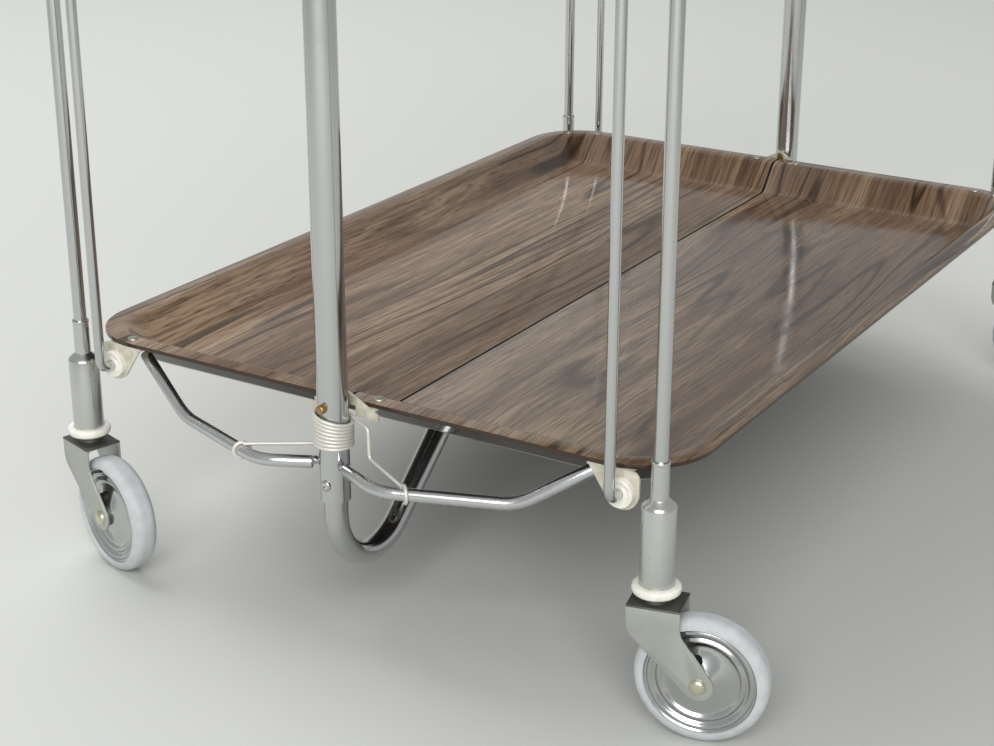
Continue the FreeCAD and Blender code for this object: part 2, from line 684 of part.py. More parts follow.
def clamp_screw():
    """Screw with a low domed head that holds the bow in the post."""
    body = turned("clamp_screw", [
        ("-screw_tip", 0), ("-screw_tip", "screw_radius"), ("-screw_seat", "screw_radius"),
        ("-screw_seat", "screw_head"), ("-screw_edge", "screw_head"),
        ("-screw_top", "screw_radius"), ("-screw_top", 0)])
    return place(body, z="screw_z")


def stop_peg():
    """Peg that keeps the spring down and stops the ears of both halves."""
    body = turned("stop_peg", [
        ("-peg_inner", 0), ("-peg_inner", "peg_radius"), ("-peg_outer", "peg_radius"),
        ("-peg_top", "peg_tip"), ("-peg_top", 0)])
    return place(body, z="peg_z")


def handle_cap():
    """Plastic plug in the open end of a cane handle."""
    body = turned("handle_cap", [
        (0, "cap_foot"), ("cap_flat", "cap_foot"), ("post_radius", "cap_shoulder"),
        ("post_radius", "cane_end_z"), ("cap_fit", "cane_end_z"), ("cap_fit", "cap_plug_top"),
        (0, "cap_plug_top")], "V_Axis")
    return place(body, x="-cane_end_x")


def arm_centre(y):
    """Point on an arm's axis between its two middle bends, for the near left arm."""
    share = (y - value("arm_bow_y")) / (value("arm_turn_y") - value("arm_bow_y"))
    x = value("arm_bow_x") + share * (value("arm_turn_x") - value("arm_bow_x"))
    return Vector(-x, y, value("arm_run_z"))


def spring_tail(side):
    """Tail that leaves the coils and its eye round the arm, for the left or the right arm."""
    wire = value("wire_radius")
    ring = value("arm_radius") + wire + value("loop_gap")
    centre = arm_centre(value("tail_y"))
    along = (centre - arm_centre(0)).normalize()
    hook = centre + Vector(0, 0, ring) - along * (wire + value("eye_gap"))
    outer_x = -value("post_x") - value("coil_radius")
    low = value("coil_foot") + wire
    high = value("coil_foot") + value("coil_height") - wire
    if side == "left":
        path = [Vector(outer_x, 0, low), Vector(outer_x, value("tail_low_y"), low), hook]
        bends = [value("tail_low_bend")]
    else:
        knee = Vector(outer_x, value("tail_knee_y"), low + value("tail_knee_rise"))
        path = [Vector(outer_x, 0, high), Vector(outer_x, value("tail_high_y"), high), knee, hook]
        bends = [value("tail_bend"), value("tail_bend")]
    tail = swept(rod_wire(path, bends), wire)
    eye = Part.makeTorus(ring, wire, centre, along)
    both = Part.makeCompound([tail, eye])
    return both if side == "left" else both.mirror(Vector(), ACROSS)


def arm_spring():
    """Close-wound spring round a post, its turns as ridges; two tails reach to eyes on the arms."""
    pitch = value("coil_pitch")
    inner = value("coil_inner")
    outer = value("coil_outer")
    root = outer - value("coil_groove")
    foot = value("coil_foot")
    top = foot + value("coil_height")
    outline = [Vector(inner, 0, foot)]
    for turn in range(int(value("coil_turns"))):
        outline.append(Vector(root, 0, foot + turn * pitch))
        outline.append(Vector(outer, 0, foot + (turn + 0.5) * pitch))
    outline += [Vector(root, 0, top), Vector(inner, 0, top)]
    face = Part.Face(Part.makePolygon(outline + outline[:1]))
    coil = face.revolve(Vector(), UPWARDS, 360)
    coil.translate(Vector(-value("post_x"), 0, 0))
    tails = [spring_tail(side) for side in ("left", "right")]
    wound = coil.fuse([tail.Solids[0] for tail in tails]).removeSplitter()
    return coded("arm_spring", Part.makeCompound([wound] + [tail.Solids[1] for tail in tails]))


# ---------------------------------------------------------------- one half of a tray

def tray():
    """Pressed half tray: a flat lip on three sides, a sloped rim and a sunken floor."""
    body = new_body("tray")
    spine = draw(new_sketch(body, "XY_Plane", "lip_top"), [
        ("-half_length", "-seam_half"),
        ("-half_length", "-half_width", "tray_corner"),
        ("half_length", "-half_width", "tray_corner"),
        ("half_length", "-seam_half")], closed=False)
    section = draw(new_sketch(body, "XZ_Plane", "seam_half"), [
        ("-half_length", "lip_top"),
        ("-half_length", "lip_under"),
        ("-flange_end_under", "lip_under", "rim_bend_under"),
        ("-foot_under", "floor_under", "foot_bend_under"),
        ("-lap_x", "floor_under"),
        ("-lap_x", "floor_top"),
        ("-foot_x", "floor_top", "foot_bend"),
        ("-flange_end_x", "lip_top", "rim_bend")])
    pipe(body, section, spine)
    floor = draw(new_sketch(body, "XY_Plane", "floor_under"), [
        ("floor_x", "-seam_half"),
        ("-floor_x", "-seam_half"),
        ("-corner_x", "-corner_y", "floor_corner", "disc"),
        ("corner_x", "-corner_y", "floor_corner", "disc")])
    pad(body, floor, "sheet_gauge")
    holes = new_sketch(body, "XY_Plane", "lip_top")
    for x in ("-rivet_x", "rivet_x"):
        for y in ("-rivet_corner_y", "-rivet_centre_y"):
            draw_circle(holes, x, y, "rivet_hole")
    pocket(body, holes, "tray_drop")
    return body


def corner_bracket():
    """Cream plate under the lip that carries the leg pivot."""
    body = new_body("corner_bracket")
    plate = draw(new_sketch(body, "YZ_Plane", "-hanger_face"), [
        ("-bracket_inner", "lip_under"),
        ("-bracket_outer", "lip_under", "bracket_round"),
        ("-hanger_y", "hanger_z", "hanger_round", "disc")])
    pad(body, plate, "plate_gauge")
    flange = draw(new_sketch(body, "XY_Plane", "flange_under"), [
        ("-hanger_face", "-bracket_flat"), ("-flange_in", "-bracket_flat"),
        ("-flange_in", "-bracket_inner"), ("-hanger_face", "-bracket_inner")])
    pad(body, flange, "plate_gauge")
    pocket(body, draw_circle(new_sketch(body, "YZ_Plane"), "-hanger_y", "hanger_z", "bush_hole"))
    hole = draw_circle(new_sketch(body, "XY_Plane"), "-rivet_x", "-rivet_corner_y", "rivet_hole")
    pocket(body, hole, reverse=True)
    return body


def centre_ear(name, outer):
    """Plate by the seam whose notched nose stops on the peg."""
    body = new_body(name)
    plate = draw(new_sketch(body, "YZ_Plane", "-" + outer), [
        ("ear_nose", "ear_top"),
        ("-ear_length", "ear_tail"),
        ("-ear_length", "ear_foot"),
        ("-ear_step", "ear_foot"),
        ("-ear_step", "ear_step_z"),
        ("-ear_notch", "ear_step_z"),
        ("-ear_notch", "ear_notch_top", "ear_notch"),
        ("ear_nose", "ear_notch_top")])
    pad(body, plate, "plate_gauge")
    flange = draw(new_sketch(body, "XY_Plane", "flange_under"), [
        ("-" + outer, "-ear_flange_end"), ("-flange_in", "-ear_flange_end"),
        ("-flange_in", "-ear_flange_y"), ("-" + outer, "-ear_flange_y")])
    pad(body, flange, "plate_gauge")
    hole = draw_circle(new_sketch(body, "XY_Plane"), "-rivet_x", "-rivet_centre_y", "rivet_hole")
    pocket(body, hole, reverse=True)
    return body


def rivet(name, y):
    body = turned(name, [
        (0, "rivet_foot"), ("rivet_tail", "rivet_foot"), ("rivet_tail", "flange_under"),
        ("rivet_shank", "flange_under"), ("rivet_shank", "lip_top"), ("rivet_head", "lip_top"),
        ("rivet_head", "rivet_top", "rivet_round"), (0, "rivet_top")], "V_Axis")
    return place(body, x="-rivet_x", y=y)


def hanger_bush():
    """White plastic pivot through a corner bracket."""
    body = turned("hanger_bush", [
        ("-bush_outer", "bush_bore"), ("-bush_outer", "bush_radius", "bush_round"),
        ("-hanger_face", "bush_radius"), ("-hanger_face", "bush_hub"),
        ("-bush_inner", "bush_hub"), ("-bush_inner", "bush_bore")])
    return place(body, y="-hanger_y", z="hanger_z")


def arm():
    """Support arm: a hooked neck that hangs in the post's slot, then a rod bent in three planes."""
    root = Vector(-value("hook_x"), -value("pivot_y"), value("pivot_z"))
    tip = Vector(root.x, -value("hook_y"), root.z)
    run_z = value("arm_run_z")
    path = [
        root,
        Vector(-value("arm_bow_x"), -value("arm_bow_y"), run_z),
        Vector(-value("arm_turn_x"), -value("arm_turn_y"), run_z),
        Vector(-value("arm_rise_x"), -value("arm_rise_y"), value("arm_rise_z")),
        Vector(-value("arm_end_x"), -value("arm_end_y"), value("arm_end_z"))]
    bends = [value("arm_bow_bend"), value("arm_turn_bend"), value("arm_rise_bend")]
    rod = swept(rod_wire(path, bends), value("arm_radius"))
    half_knuckle = Vector(value("knuckle_length") / 2, 0, 0)
    radius = value("hook_radius")
    extras = [
        Part.makeCylinder(value("knuckle_radius"), value("knuckle_length"), root - half_knuckle, ALONG),
        Part.makeCylinder(radius, (tip - root).Length, root, ACROSS),
        Part.makeSphere(radius, tip),
        Part.makeCylinder(radius, value("hook_drop"), tip, UPWARDS * -1)]
    return coded("arm", rod.fuse(extras).removeSplitter())


# ---------------------------------------------------------------- one corner: leg and caster

def hanger_rod():
    """Rod that hangs the leg from both trays: pivot end, long upright, arch into the leg tube."""
    y = -value("hanger_y")
    low = value("hanger_z")
    high = value("upper_hanger_z")
    end_x = -value("washer_in")
    rod_x = -value("rod_x")
    peak = value("arch_peak")
    leg = Vector(-value("leg_x"), -value("leg_y"), peak)
    path = [Vector(end_x, y, low), Vector(rod_x, y, low), Vector(rod_x, y, peak), leg,
            Vector(leg.x, leg.y, value("rod_foot"))]
    bends = [value("rod_bend"), value("arch_bend"), value("arch_bend")]
    radius = value("rod_radius")
    rod = swept(rod_wire(path, bends), radius)
    extras = [Part.makeCylinder(radius, end_x - rod_x, Vector(rod_x, y, high), ALONG)]
    for z in (low, high):
        washer_foot = Vector(-value("washer_out"), y, z)
        extras.append(Part.makeCylinder(
            value("rod_washer"), value("rod_washer_gauge"), washer_foot, ALONG))
    return coded("hanger_rod", rod.fuse(extras).removeSplitter())


def leg_tube():
    return turned("leg_tube", [
        ("leg_bore", "leg_foot"), ("leg_radius", "leg_foot"),
        ("leg_radius", "leg_top"), ("leg_bore", "leg_top")], "V_Axis")


def caster_socket():
    """Housing at the foot of a leg: ferrule above, swivel bearing below."""
    return turned("caster_socket", [
        ("stem_hole", "socket_foot"), ("socket_radius", "socket_foot"),
        ("socket_radius", "socket_cone"), ("ferrule_radius", "socket_top"),
        ("ferrule_radius", "ferrule_top"), ("leg_hole", "ferrule_top"),
        ("leg_hole", "leg_seat"), (0, "leg_seat"), (0, "socket_floor"),
        ("stem_hole", "socket_floor")], "V_Axis")


def socket_ring():
    """White plastic ring round the foot of the socket."""
    return turned("socket_ring", [
        ("ring_bore", "ring_foot"), ("ring_radius", "ring_foot", "ring_round"),
        ("ring_radius", "ring_top", "ring_round"), ("ring_bore", "ring_top")], "V_Axis")


def caster_fork():
    """Pressed fork, open below, with its swivel stem and collar; it trails towards +X."""
    body = new_body("caster_fork")
    cheek = draw(new_sketch(body, "XZ_Plane"), [
        ("-fork_back", "fork_top"),
        ("-waist_back", "waist_back_z", "waist_round"),
        ("trail", "axle_z", "fork_tip", "disc"),
        ("fork_front", "waist_front_z", "waist_round"),
        ("fork_front", "fork_top")])
    pad(body, cheek, "fork_width", side="Symmetric")
    inside = draw(new_sketch(body, "YZ_Plane"), [
        ("-fork_half_gap", 0), ("fork_half_gap", 0),
        ("fork_half_gap", "fork_under", "fork_bend"),
        ("-fork_half_gap", "fork_under", "fork_bend")])
    pocket(body, inside, side="Symmetric")
    eye = draw_circle(new_sketch(body, "XZ_Plane"), "trail", "axle_z", "axle_seat")
    pocket(body, eye, side="Symmetric")
    stem = draw(new_sketch(body, "XZ_Plane"), [
        (0, "fork_under"), ("collar_radius", "fork_under"), ("collar_radius", "collar_top"),
        ("stem_radius", "collar_top"), ("stem_radius", "stem_top"), (0, "stem_top")])
    revolve(body, stem, "V_Axis")
    return body


def caster_axle():
    """Riveted axle with a domed head outside each cheek."""
    body = turned("caster_axle", [
        ("-axle_top", 0), ("-axle_top", "axle_head", "axle_round"),
        ("-fork_half", "axle_head"), ("-fork_half", "axle_radius"),
        ("fork_half", "axle_radius"), ("fork_half", "axle_head"),
        ("axle_top", "axle_head", "axle_round"), ("axle_top", 0)], role="YZ_Plane")
    return place(body, x="trail", z="axle_z")


def wheel_disc():
    """Chromed wheel centre: hub, cone, dish, ridge, groove and rim on both faces; one oval hole."""
    body = new_body("wheel_disc")
    face = [("half_hub", "axle_hole"), ("half_hub", "hub_radius"),
            ("dish_half", "dish_r", "dish_round"), ("ridge_half", "ridge_r", "dish_round"),
            ("groove_half", "groove_r", "dish_round"), ("half_disc", "rim_r", "dish_round"),
            ("half_disc", "tyre_inner")]
    back = [("-" + corner[0],) + corner[1:] for corner in reversed(face)]
    revolve(body, draw(new_sketch(body, "YZ_Plane"), face + back), "H_Axis")
    oval = draw(new_sketch(body, "XZ_Plane"), [
        ("-disc_hole_half", "disc_hole_in", "disc_hole_round"),
        ("disc_hole_half", "disc_hole_in", "disc_hole_round"),
        ("disc_hole_half", "disc_hole_out", "disc_hole_round"),
        ("-disc_hole_half", "disc_hole_out", "disc_hole_round")])
    pocket(body, oval, side="Symmetric")
    return place(body, x="trail", z="axle_z", turn="disc_turn", about=ACROSS)


def tyre():
    body = turned("tyre", [
        ("-half_wheel", "tyre_seat"), ("half_wheel", "tyre_seat"),
        ("half_wheel", "wheel_radius", "tyre_round"),
        ("-half_wheel", "wheel_radius", "tyre_round")], role="YZ_Plane")
    return place(body, x="trail", z="axle_z")


# ---------------------------------------------------------------- assembly

near_post = keep(upright(), "near_upright")
keep(mirror(near_post, ALONG), "far_upright")
keep(bow(), "lower_bow")
keep(both_ends("bow_screws", [clamp_screw()]), "bow_screws")
keep(both_ends("handle_caps", [handle_cap()]), "handle_caps")
pegs = both_ends("low_pegs", [stop_peg()])
keep(group("stop_pegs", [pegs, raised("high_pegs", pegs)]), "stop_pegs")
keep(both_ends("arm_springs", [arm_spring()]), "arm_springs")

half_tray = tray()
bracket = corner_bracket()
arms = both_ends("arm_pair", [arm()])
bushes = both_ends("bush_pair", [hanger_bush()])
rivets = both_ends("rivet_set", [
    rivet("corner_rivet", "-rivet_corner_y"), rivet("centre_rivet", "-rivet_centre_y")])
right_plates = both_ends("right_plates", [bracket, centre_ear("right_ear", "ear_right_outer")])
left_plates = both_ends("left_plates", [bracket, centre_ear("left_ear", "ear_left_outer")])
for side in ("right", "left"):
    plates = right_plates if side == "right" else left_plates
    pieces = {"tray": half_tray, "brackets": plates, "arms": arms, "bushes": bushes,
              "rivets": rivets}
    for kind, piece in pieces.items():
        low = mirror(piece, ACROSS) if side == "left" else group(f"{kind}_lower", [piece])
        keep(low, f"lower_{side}_{kind}")
        keep(raised(f"{kind}_{side}_upper", low), f"upper_{side}_{kind}")

rod = hanger_rod()
fixed_pieces = {"leg_tube": leg_tube(), "caster_socket": caster_socket(),
                "socket_ring": socket_ring()}
swivel_pieces = {"caster_fork": caster_fork(), "caster_axle": caster_axle(),
                 "wheel_disc": wheel_disc(), "tyre": tyre()}
for end in ("near", "far"):
    for side in ("right", "left"):
        corner = f"{end}_{side}"
        hung = rod if end == "near" else mirror(rod, ALONG)
        hung = mirror(hung, ACROSS) if side == "left" else group(f"rod_{corner}", [hung])
        keep(hung, f"{corner}_hanger_rod")
        x = "-leg_x" if end == "near" else "leg_x"
        y = "-leg_y" if side == "right" else "leg_y"
        for kind, piece in fixed_pieces.items():
            copy = place(group(f"{kind}_{corner}", [piece]), x, y)
            keep(copy, f"{corner}_{kind}")
        for kind, piece in swivel_pieces.items():
            copy = place(group(f"{kind}_{corner}", [piece]), x, y, turn=f"heading_{corner}")
            keep(copy, f"{corner}_{kind}")

doc.recompute()
for thing in doc.Objects:
    if "Invalid" in thing.State or "Error" in thing.State:
        raise RuntimeError(f"{thing.Name} ({thing.Label}) did not build: {thing.State}")
os.makedirs("parts", exist_ok=True)
for node in nodes:
    shape = node.Shape
    if shape.isNull() or not shape.isValid() or not shape.Solids:
        raise RuntimeError(f"{node.Label} is not a valid solid")
    shape.exportStep(f"parts/{node.Label}.step")
    print(f"{node.Label}: {len(shape.Solids)} solids, {shape.Volume:.1f} mm3")
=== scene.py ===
import math

import bmesh
import bpy
from mathutils import Matrix, Vector


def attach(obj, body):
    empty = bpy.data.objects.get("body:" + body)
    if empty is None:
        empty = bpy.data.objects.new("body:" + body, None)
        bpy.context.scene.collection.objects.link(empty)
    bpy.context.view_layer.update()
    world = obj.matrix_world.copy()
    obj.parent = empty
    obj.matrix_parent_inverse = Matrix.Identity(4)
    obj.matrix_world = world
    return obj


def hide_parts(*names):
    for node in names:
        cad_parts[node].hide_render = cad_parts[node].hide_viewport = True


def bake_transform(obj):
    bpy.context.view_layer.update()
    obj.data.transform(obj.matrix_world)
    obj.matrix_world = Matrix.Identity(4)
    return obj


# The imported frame: seventeen rigid bodies, open and standing on the floor.
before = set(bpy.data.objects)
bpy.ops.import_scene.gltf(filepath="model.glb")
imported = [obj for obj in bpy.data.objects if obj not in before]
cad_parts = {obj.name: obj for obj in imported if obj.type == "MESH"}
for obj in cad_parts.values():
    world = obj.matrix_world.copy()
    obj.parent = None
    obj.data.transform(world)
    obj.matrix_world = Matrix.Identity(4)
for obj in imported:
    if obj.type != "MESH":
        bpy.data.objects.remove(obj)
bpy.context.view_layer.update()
SIDES = {"right": -1, "left": 1}
ENDS = {"near": -1, "far": 1}
TIERS = {"lower": 0.0, "upper": 0.360}


# ---- Camera: a short telephoto, held just above the lower tray and close to one corner, so that
# the near legs stand tall and the posts run out of the top of the frame.
camera_data = bpy.data.cameras.new("camera")
camera_data.sensor_width = 36.0
camera_data.lens = 68.52
camera = bpy.data.objects.new("camera", camera_data)
bpy.context.scene.collection.objects.link(camera)
bpy.context.scene.camera = camera
camera_yaw, camera_pitch, camera_roll = 31.605, 21.686, 0.068
aim = Vector((math.cos(math.radians(camera_yaw)) * math.cos(math.radians(camera_pitch)),
              math.sin(math.radians(camera_yaw)) * math.cos(math.radians(camera_pitch)),
              -math.sin(math.radians(camera_pitch))))
camera.matrix_world = (
    Matrix.Translation((-1.11396, -0.59857, 0.56523))
    @ aim.to_track_quat("-Z", "Y").to_matrix().to_4x4()
    @ Matrix.Rotation(math.radians(camera_roll), 4, "Z"))


# ---- Posts: chromed steel tube of 18 mm, cold drawn and bent cold into a cane handle at the top.
# Each carries two slots a tier for the hooked arms and a hole for the peg. Bright chrome gives
# long dark and light streaks along the tube, with faint rub marks where hands and arms touch.
def srgb(code):
    """Linear colour of an sRGB hex code."""
    parts = [int(code[i:i + 2], 16) / 255 for i in (0, 2, 4)]
    return [c / 12.92 if c <= 0.04045 else ((c + 0.055) / 1.055) ** 2.4 for c in parts] + [1.0]


def add_node(material, kind, settings=None, links=None):
    """One shader node; settings are its own properties or socket values, links its inputs."""
    tree = material.node_tree
    node = tree.nodes.new(kind)
    for key, setting in (settings or {}).items():
        if isinstance(key, str) and hasattr(node, key):
            setattr(node, key, setting)
        else:
            node.inputs[key].default_value = setting
    for key, source in (links or {}).items():
        tree.links.new(source, node.inputs[key])
    return node


def new_material(name, **surface):
    """Material with one principled shader; surface holds its socket values."""
    material = bpy.data.materials.new(name)
    material.use_nodes = True
    shader = material.node_tree.nodes["Principled BSDF"]
    for key, setting in surface.items():
        shader.inputs[key.replace("_", " ")].default_value = setting
    return material, shader


def chrome_plate(name, tint, rough, wear_scale=38.0, wear=0.12):
    """Nickel-chrome plate: near mirror, with cloudy rub marks and fine pits in the roughness."""
    material, shader = new_material(name, Metallic=1.0, Base_Color=srgb(tint))
    place = add_node(material, "ShaderNodeTexCoord")
    cloud = add_node(material, "ShaderNodeTexNoise",
                     {"Scale": wear_scale, "Detail": 6.0, "Roughness": 0.65},
                     {"Vector": place.outputs["Object"]})
    pits = add_node(material, "ShaderNodeTexNoise", {"Scale": 900.0, "Detail": 2.0},
                    {"Vector": place.outputs["Object"]})
    level = add_node(material, "ShaderNodeMapRange",
                     {"From Min": 0.42, "From Max": 0.75, "To Min": rough, "To Max": rough + wear},
                     {"Value": cloud.outputs["Fac"]})
    bump = add_node(material, "ShaderNodeBump", {"Strength": 0.03, "Distance": 0.0002},
                    {"Height": pits.outputs["Fac"]})
    material.node_tree.links.new(level.outputs["Result"], shader.inputs["Roughness"])
    material.node_tree.links.new(bump.outputs["Normal"], shader.inputs["Normal"])
    return material


def ring_of(bm, centre, normal, radius, segments):
    """Circle of edges round a point, square to a direction."""
    turn = normal.to_track_quat("Z", "Y").to_matrix().to_4x4()
    made = bmesh.ops.create_circle(bm, segments=segments, radius=radius,
                                   matrix=Matrix.Translation(centre) @ turn)
    return list({edge for vert in made["verts"] for edge in vert.link_edges})


def run_on(bm, edges, offset):
    """Straight length of tube: extrude the open ring and move it on."""
    made = bmesh.ops.extrude_edge_only(bm, edges=edges)["geom"]
    verts = [item for item in made if isinstance(item, bmesh.types.BMVert)]
    bmesh.ops.translate(bm, verts=verts, vec=offset)
    return [item for item in made if isinstance(item, bmesh.types.BMEdge)
            and all(v in verts for v in item.verts)]


def bend_on(bm, edges, centre, axis, angle, steps):
    """Bend: spin the open ring about the centre of the bend."""
    last = bmesh.ops.spin(bm, geom=edges, cent=centre, axis=axis, angle=angle, steps=steps)
    return [item for item in last["geom_last"] if isinstance(item, bmesh.types.BMEdge)]


def bent_tube(bm, points, bends, radius, segments=28, close=(True, True)):
    """Round bar or tube skin along straight runs with an arc at each inner point."""
    points = [Vector(p) for p in points]
    edges = ring_of(bm, points[0], points[1] - points[0], radius, segments)
    first = list(edges)
    at = points[0]
    for before, corner, after, bend in zip(points, points[1:], points[2:], bends):
        come = (corner - before).normalized()
        leave = (after - corner).normalized()
        turn = come.angle(leave)
        reach = bend * math.tan(turn / 2)
        start = corner - come * reach
        if (start - at).length > 1e-5:
            edges = run_on(bm, edges, start - at)
        axis = come.cross(leave).normalized()
        centre = start + axis.cross(come) * bend
        steps = max(3, round(math.degrees(turn) / 6))
        edges = bend_on(bm, edges, centre, axis, turn, steps)
        at = corner + leave * reach
    edges = run_on(bm, edges, points[-1] - at)
    for end, wanted in ((first, close[0]), (edges, close[1])):
        if wanted:
            bmesh.ops.holes_fill(bm, edges=end, sides=0)


def soften(bm, width, segments=2, angle=35.0):
    """Round every sharp edge by a small bevel."""
    sharp = [edge for edge in bm.edges
             if len(edge.link_faces) == 2 and edge.calc_face_angle(0.0) > math.radians(angle)]
    bmesh.ops.bevel(bm, geom=sharp, offset=width, segments=segments, affect="EDGES",
                    profile=0.5, material=-1, clamp_overlap=True)


def finish_piece(name, bm, body, material, nodes=(), smooth_angle=32.0):
    """Turn a bmesh into a finished piece that rides on a body and stands for its CAD nodes."""
    bmesh.ops.remove_doubles(bm, verts=bm.verts, dist=1e-6)
    bmesh.ops.recalc_face_normals(bm, faces=bm.faces)
    mesh = bpy.data.meshes.new(name)
    bm.to_mesh(mesh)
    bm.free()
    mesh.materials.append(material)
    for face in mesh.polygons:
        face.use_smooth = True
    mesh.set_sharp_from_angle(angle=math.radians(smooth_angle))
    piece = bpy.data.objects.new(name, mesh)
    bpy.context.scene.collection.objects.link(piece)
    if body:
        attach(piece, body)
    if nodes:
        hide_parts(*nodes)
    return piece


def cut_away(bm, low, high):
    """Open a rectangular slot in a skin: slice along its four sides, then delete what is inside."""
    low, high = Vector(low), Vector(high)
    for axis in range(3):
        for bound in (low, high):
            normal = Vector([float(i == axis) for i in range(3)])
            near = [f for f in bm.faces if all(
                low[k] - 0.02 < f.calc_center_median()[k] < high[k] + 0.02 for k in range(3))]
            geom = near + list({e for f in near for e in f.edges}
                               | {v for f in near for v in f.verts})
            bmesh.ops.bisect_plane(bm, geom=geom, dist=1e-7, plane_co=bound, plane_no=normal)
    inside = [f for f in bm.faces if all(
        low[k] < f.calc_center_median()[k] < high[k] for k in range(3))]
    bmesh.ops.delete(bm, geom=inside, context="FACES")


post_x = 0.3191
post_radius = 0.009
post_wall = 0.0016
post_foot = 0.0935
cane_radius = 0.030
cane_peak = 0.615
cane_end_x = post_x - 2 * cane_radius - 0.004
cane_end_z = 0.561
bright_chrome = chrome_plate("chromed_steel_tube", "C4C5C5", 0.13)
for end, sign in ENDS.items():
    bm = bmesh.new()
    bent_tube(bm, [(sign * post_x, 0, post_foot), (sign * post_x, 0, cane_peak),
                   (sign * cane_end_x, 0, cane_peak), (sign * cane_end_x, 0, cane_end_z)],
              [cane_radius, cane_radius], post_radius, segments=48, close=(False, False))
    for tier in TIERS.values():
        for side in (-1, 1):
            x = sorted((sign * 0.3212, sign * 0.3248))
            y = sorted((side * 0.004, side * 0.010))
            cut_away(bm, (x[0], y[0], 0.1143 + tier), (x[1], y[1], 0.1258 + tier))
    bmesh.ops.recalc_face_normals(bm, faces=bm.faces)
    bmesh.ops.solidify(bm, geom=bm.faces[:], thickness=post_wall)
    finish_piece(f"{end}_post", bm, "frame", bright_chrome, [f"{end}_upright"])


# ---- Bow: one chromed tube, bent cold, whose ends slip up inside both posts. It dips nearly to
# the floor, climbs at a slant and runs level under the seam, where it stiffens the open trolley.
bow_radius = 0.0072
bow_level = 0.1199
bow_corner = 0.0014
bow_knee = 0.1828
foot_bend = 0.0370
bow_chrome = chrome_plate("chromed_bow_tube", "C2C3C3", 0.12, 30.0)
bm = bmesh.new()
bent_tube(bm, [(-post_x, 0, 0.112), (-post_x, 0, bow_corner), (-bow_knee, 0, bow_level),
               (bow_knee, 0, bow_level), (post_x, 0, bow_corner), (post_x, 0, 0.112)],
          [foot_bend, 0.045, 0.045, foot_bend], bow_radius, segments=44, close=(False, False))
bmesh.ops.recalc_face_normals(bm, faces=bm.faces)
bmesh.ops.solidify(bm, geom=bm.faces[:], thickness=0.0014)
finish_piece("bow_tube", bm, "frame", bow_chrome, ["lower_bow"])


# ---- Clamp screws: small zinc-plated machine screws with a domed head and a cross recess, one
# through each post into the bow. The plate is duller than the chrome round it.
def turned(bm, profile, centre, axis, steps=40, start=None):
    """Solid of revolution: (distance along the axis, radius) points spun about an axis."""
    axis = Vector(axis).normalized()
    out = Vector(start) if start else axis.orthogonal().normalized()
    centre = Vector(centre)
    verts = [bm.verts.new(centre + axis * along + out * radius) for along, radius in profile]
    edges = [bm.edges.new(pair) for pair in zip(verts, verts[1:] + verts[:1])
             if (pair[0].co - pair[1].co).length > 1e-7]
    bmesh.ops.spin(bm, geom=verts + edges, cent=centre, axis=axis, angle=2 * math.pi,
                   steps=steps, use_merge=True, use_duplicate=False)
    bmesh.ops.remove_doubles(bm, verts=bm.verts, dist=1e-6)
    bmesh.ops.dissolve_degenerate(bm, edges=bm.edges[:], dist=1e-7)


def dome(base, radius, height, steps=6, flat=0.0):
    """Profile points of a low dome that starts at (base, radius) and ends on the axis."""
    points = []
    for step in range(steps + 1):
        angle = math.pi / 2 * step / steps
        points.append((base + height * math.sin(angle),
                       flat + (radius - flat) * math.cos(angle)))
    return points + ([(base + height, 0.0)] if flat else [])


def zinc_plate(name, tint, rough=0.32, grain=420.0, metal=1.0):
    """Bright zinc on pressed steel: a soft mirror with fine rolled grain and slight clouding."""
    material, shader = new_material(name, Metallic=metal)
    place = add_node(material, "ShaderNodeTexCoord")
    cloud = add_node(material, "ShaderNodeTexNoise", {"Scale": 70.0, "Detail": 5.0},
                     {"Vector": place.outputs["Object"]})
    fine = add_node(material, "ShaderNodeTexNoise", {"Scale": grain, "Detail": 3.0},
                    {"Vector": place.outputs["Object"]})
    dark = [c * 0.82 for c in srgb(tint)[:3]] + [1.0]
    tone = add_node(material, "ShaderNodeMix", {"data_type": "RGBA", 6: dark, 7: srgb(tint)},
                    {0: cloud.outputs["Fac"]})
    level = add_node(material, "ShaderNodeMapRange",
                     {"From Min": 0.35, "From Max": 0.7, "To Min": rough, "To Max": rough + 0.14},
                     {"Value": cloud.outputs["Fac"]})
    bump = add_node(material, "ShaderNodeBump", {"Strength": 0.04, "Distance": 0.0002},
                    {"Height": fine.outputs["Fac"]})
    tree = material.node_tree
    tree.links.new(tone.outputs[2], shader.inputs["Base Color"])
    tree.links.new(level.outputs["Result"], shader.inputs["Roughness"])
    tree.links.new(bump.outputs["Normal"], shader.inputs["Normal"])
    return material


screw_zinc = zinc_plate("zinc_plated_screw", "C9C8C2", 0.28)
bm = bmesh.new()
for sign in ENDS.values():
    seat = Vector((sign * (post_x + post_radius), 0, 0.1045))
    turned(bm, [(-0.008, 0.0), (-0.008, 0.0017), (0.0, 0.0017), (0.0, 0.0033)]
           + dome(0.0004, 0.0033, 0.0012, flat=0.0012), seat, (sign, 0, 0))
    for turn in (0, 90):
        slot_place = (Matrix.Translation(seat + Vector((sign * 0.00165, 0, 0)))
                      @ Matrix.Rotation(math.radians(turn + 45), 4, "X")
                      @ Matrix.Diagonal((0.0002, 0.0009, 0.0034, 1)))
        bmesh.ops.create_cube(bm, size=1.0, matrix=slot_place)
finish_piece("cross_head_screws", bm, "frame", screw_zinc, ["bow_screws"])


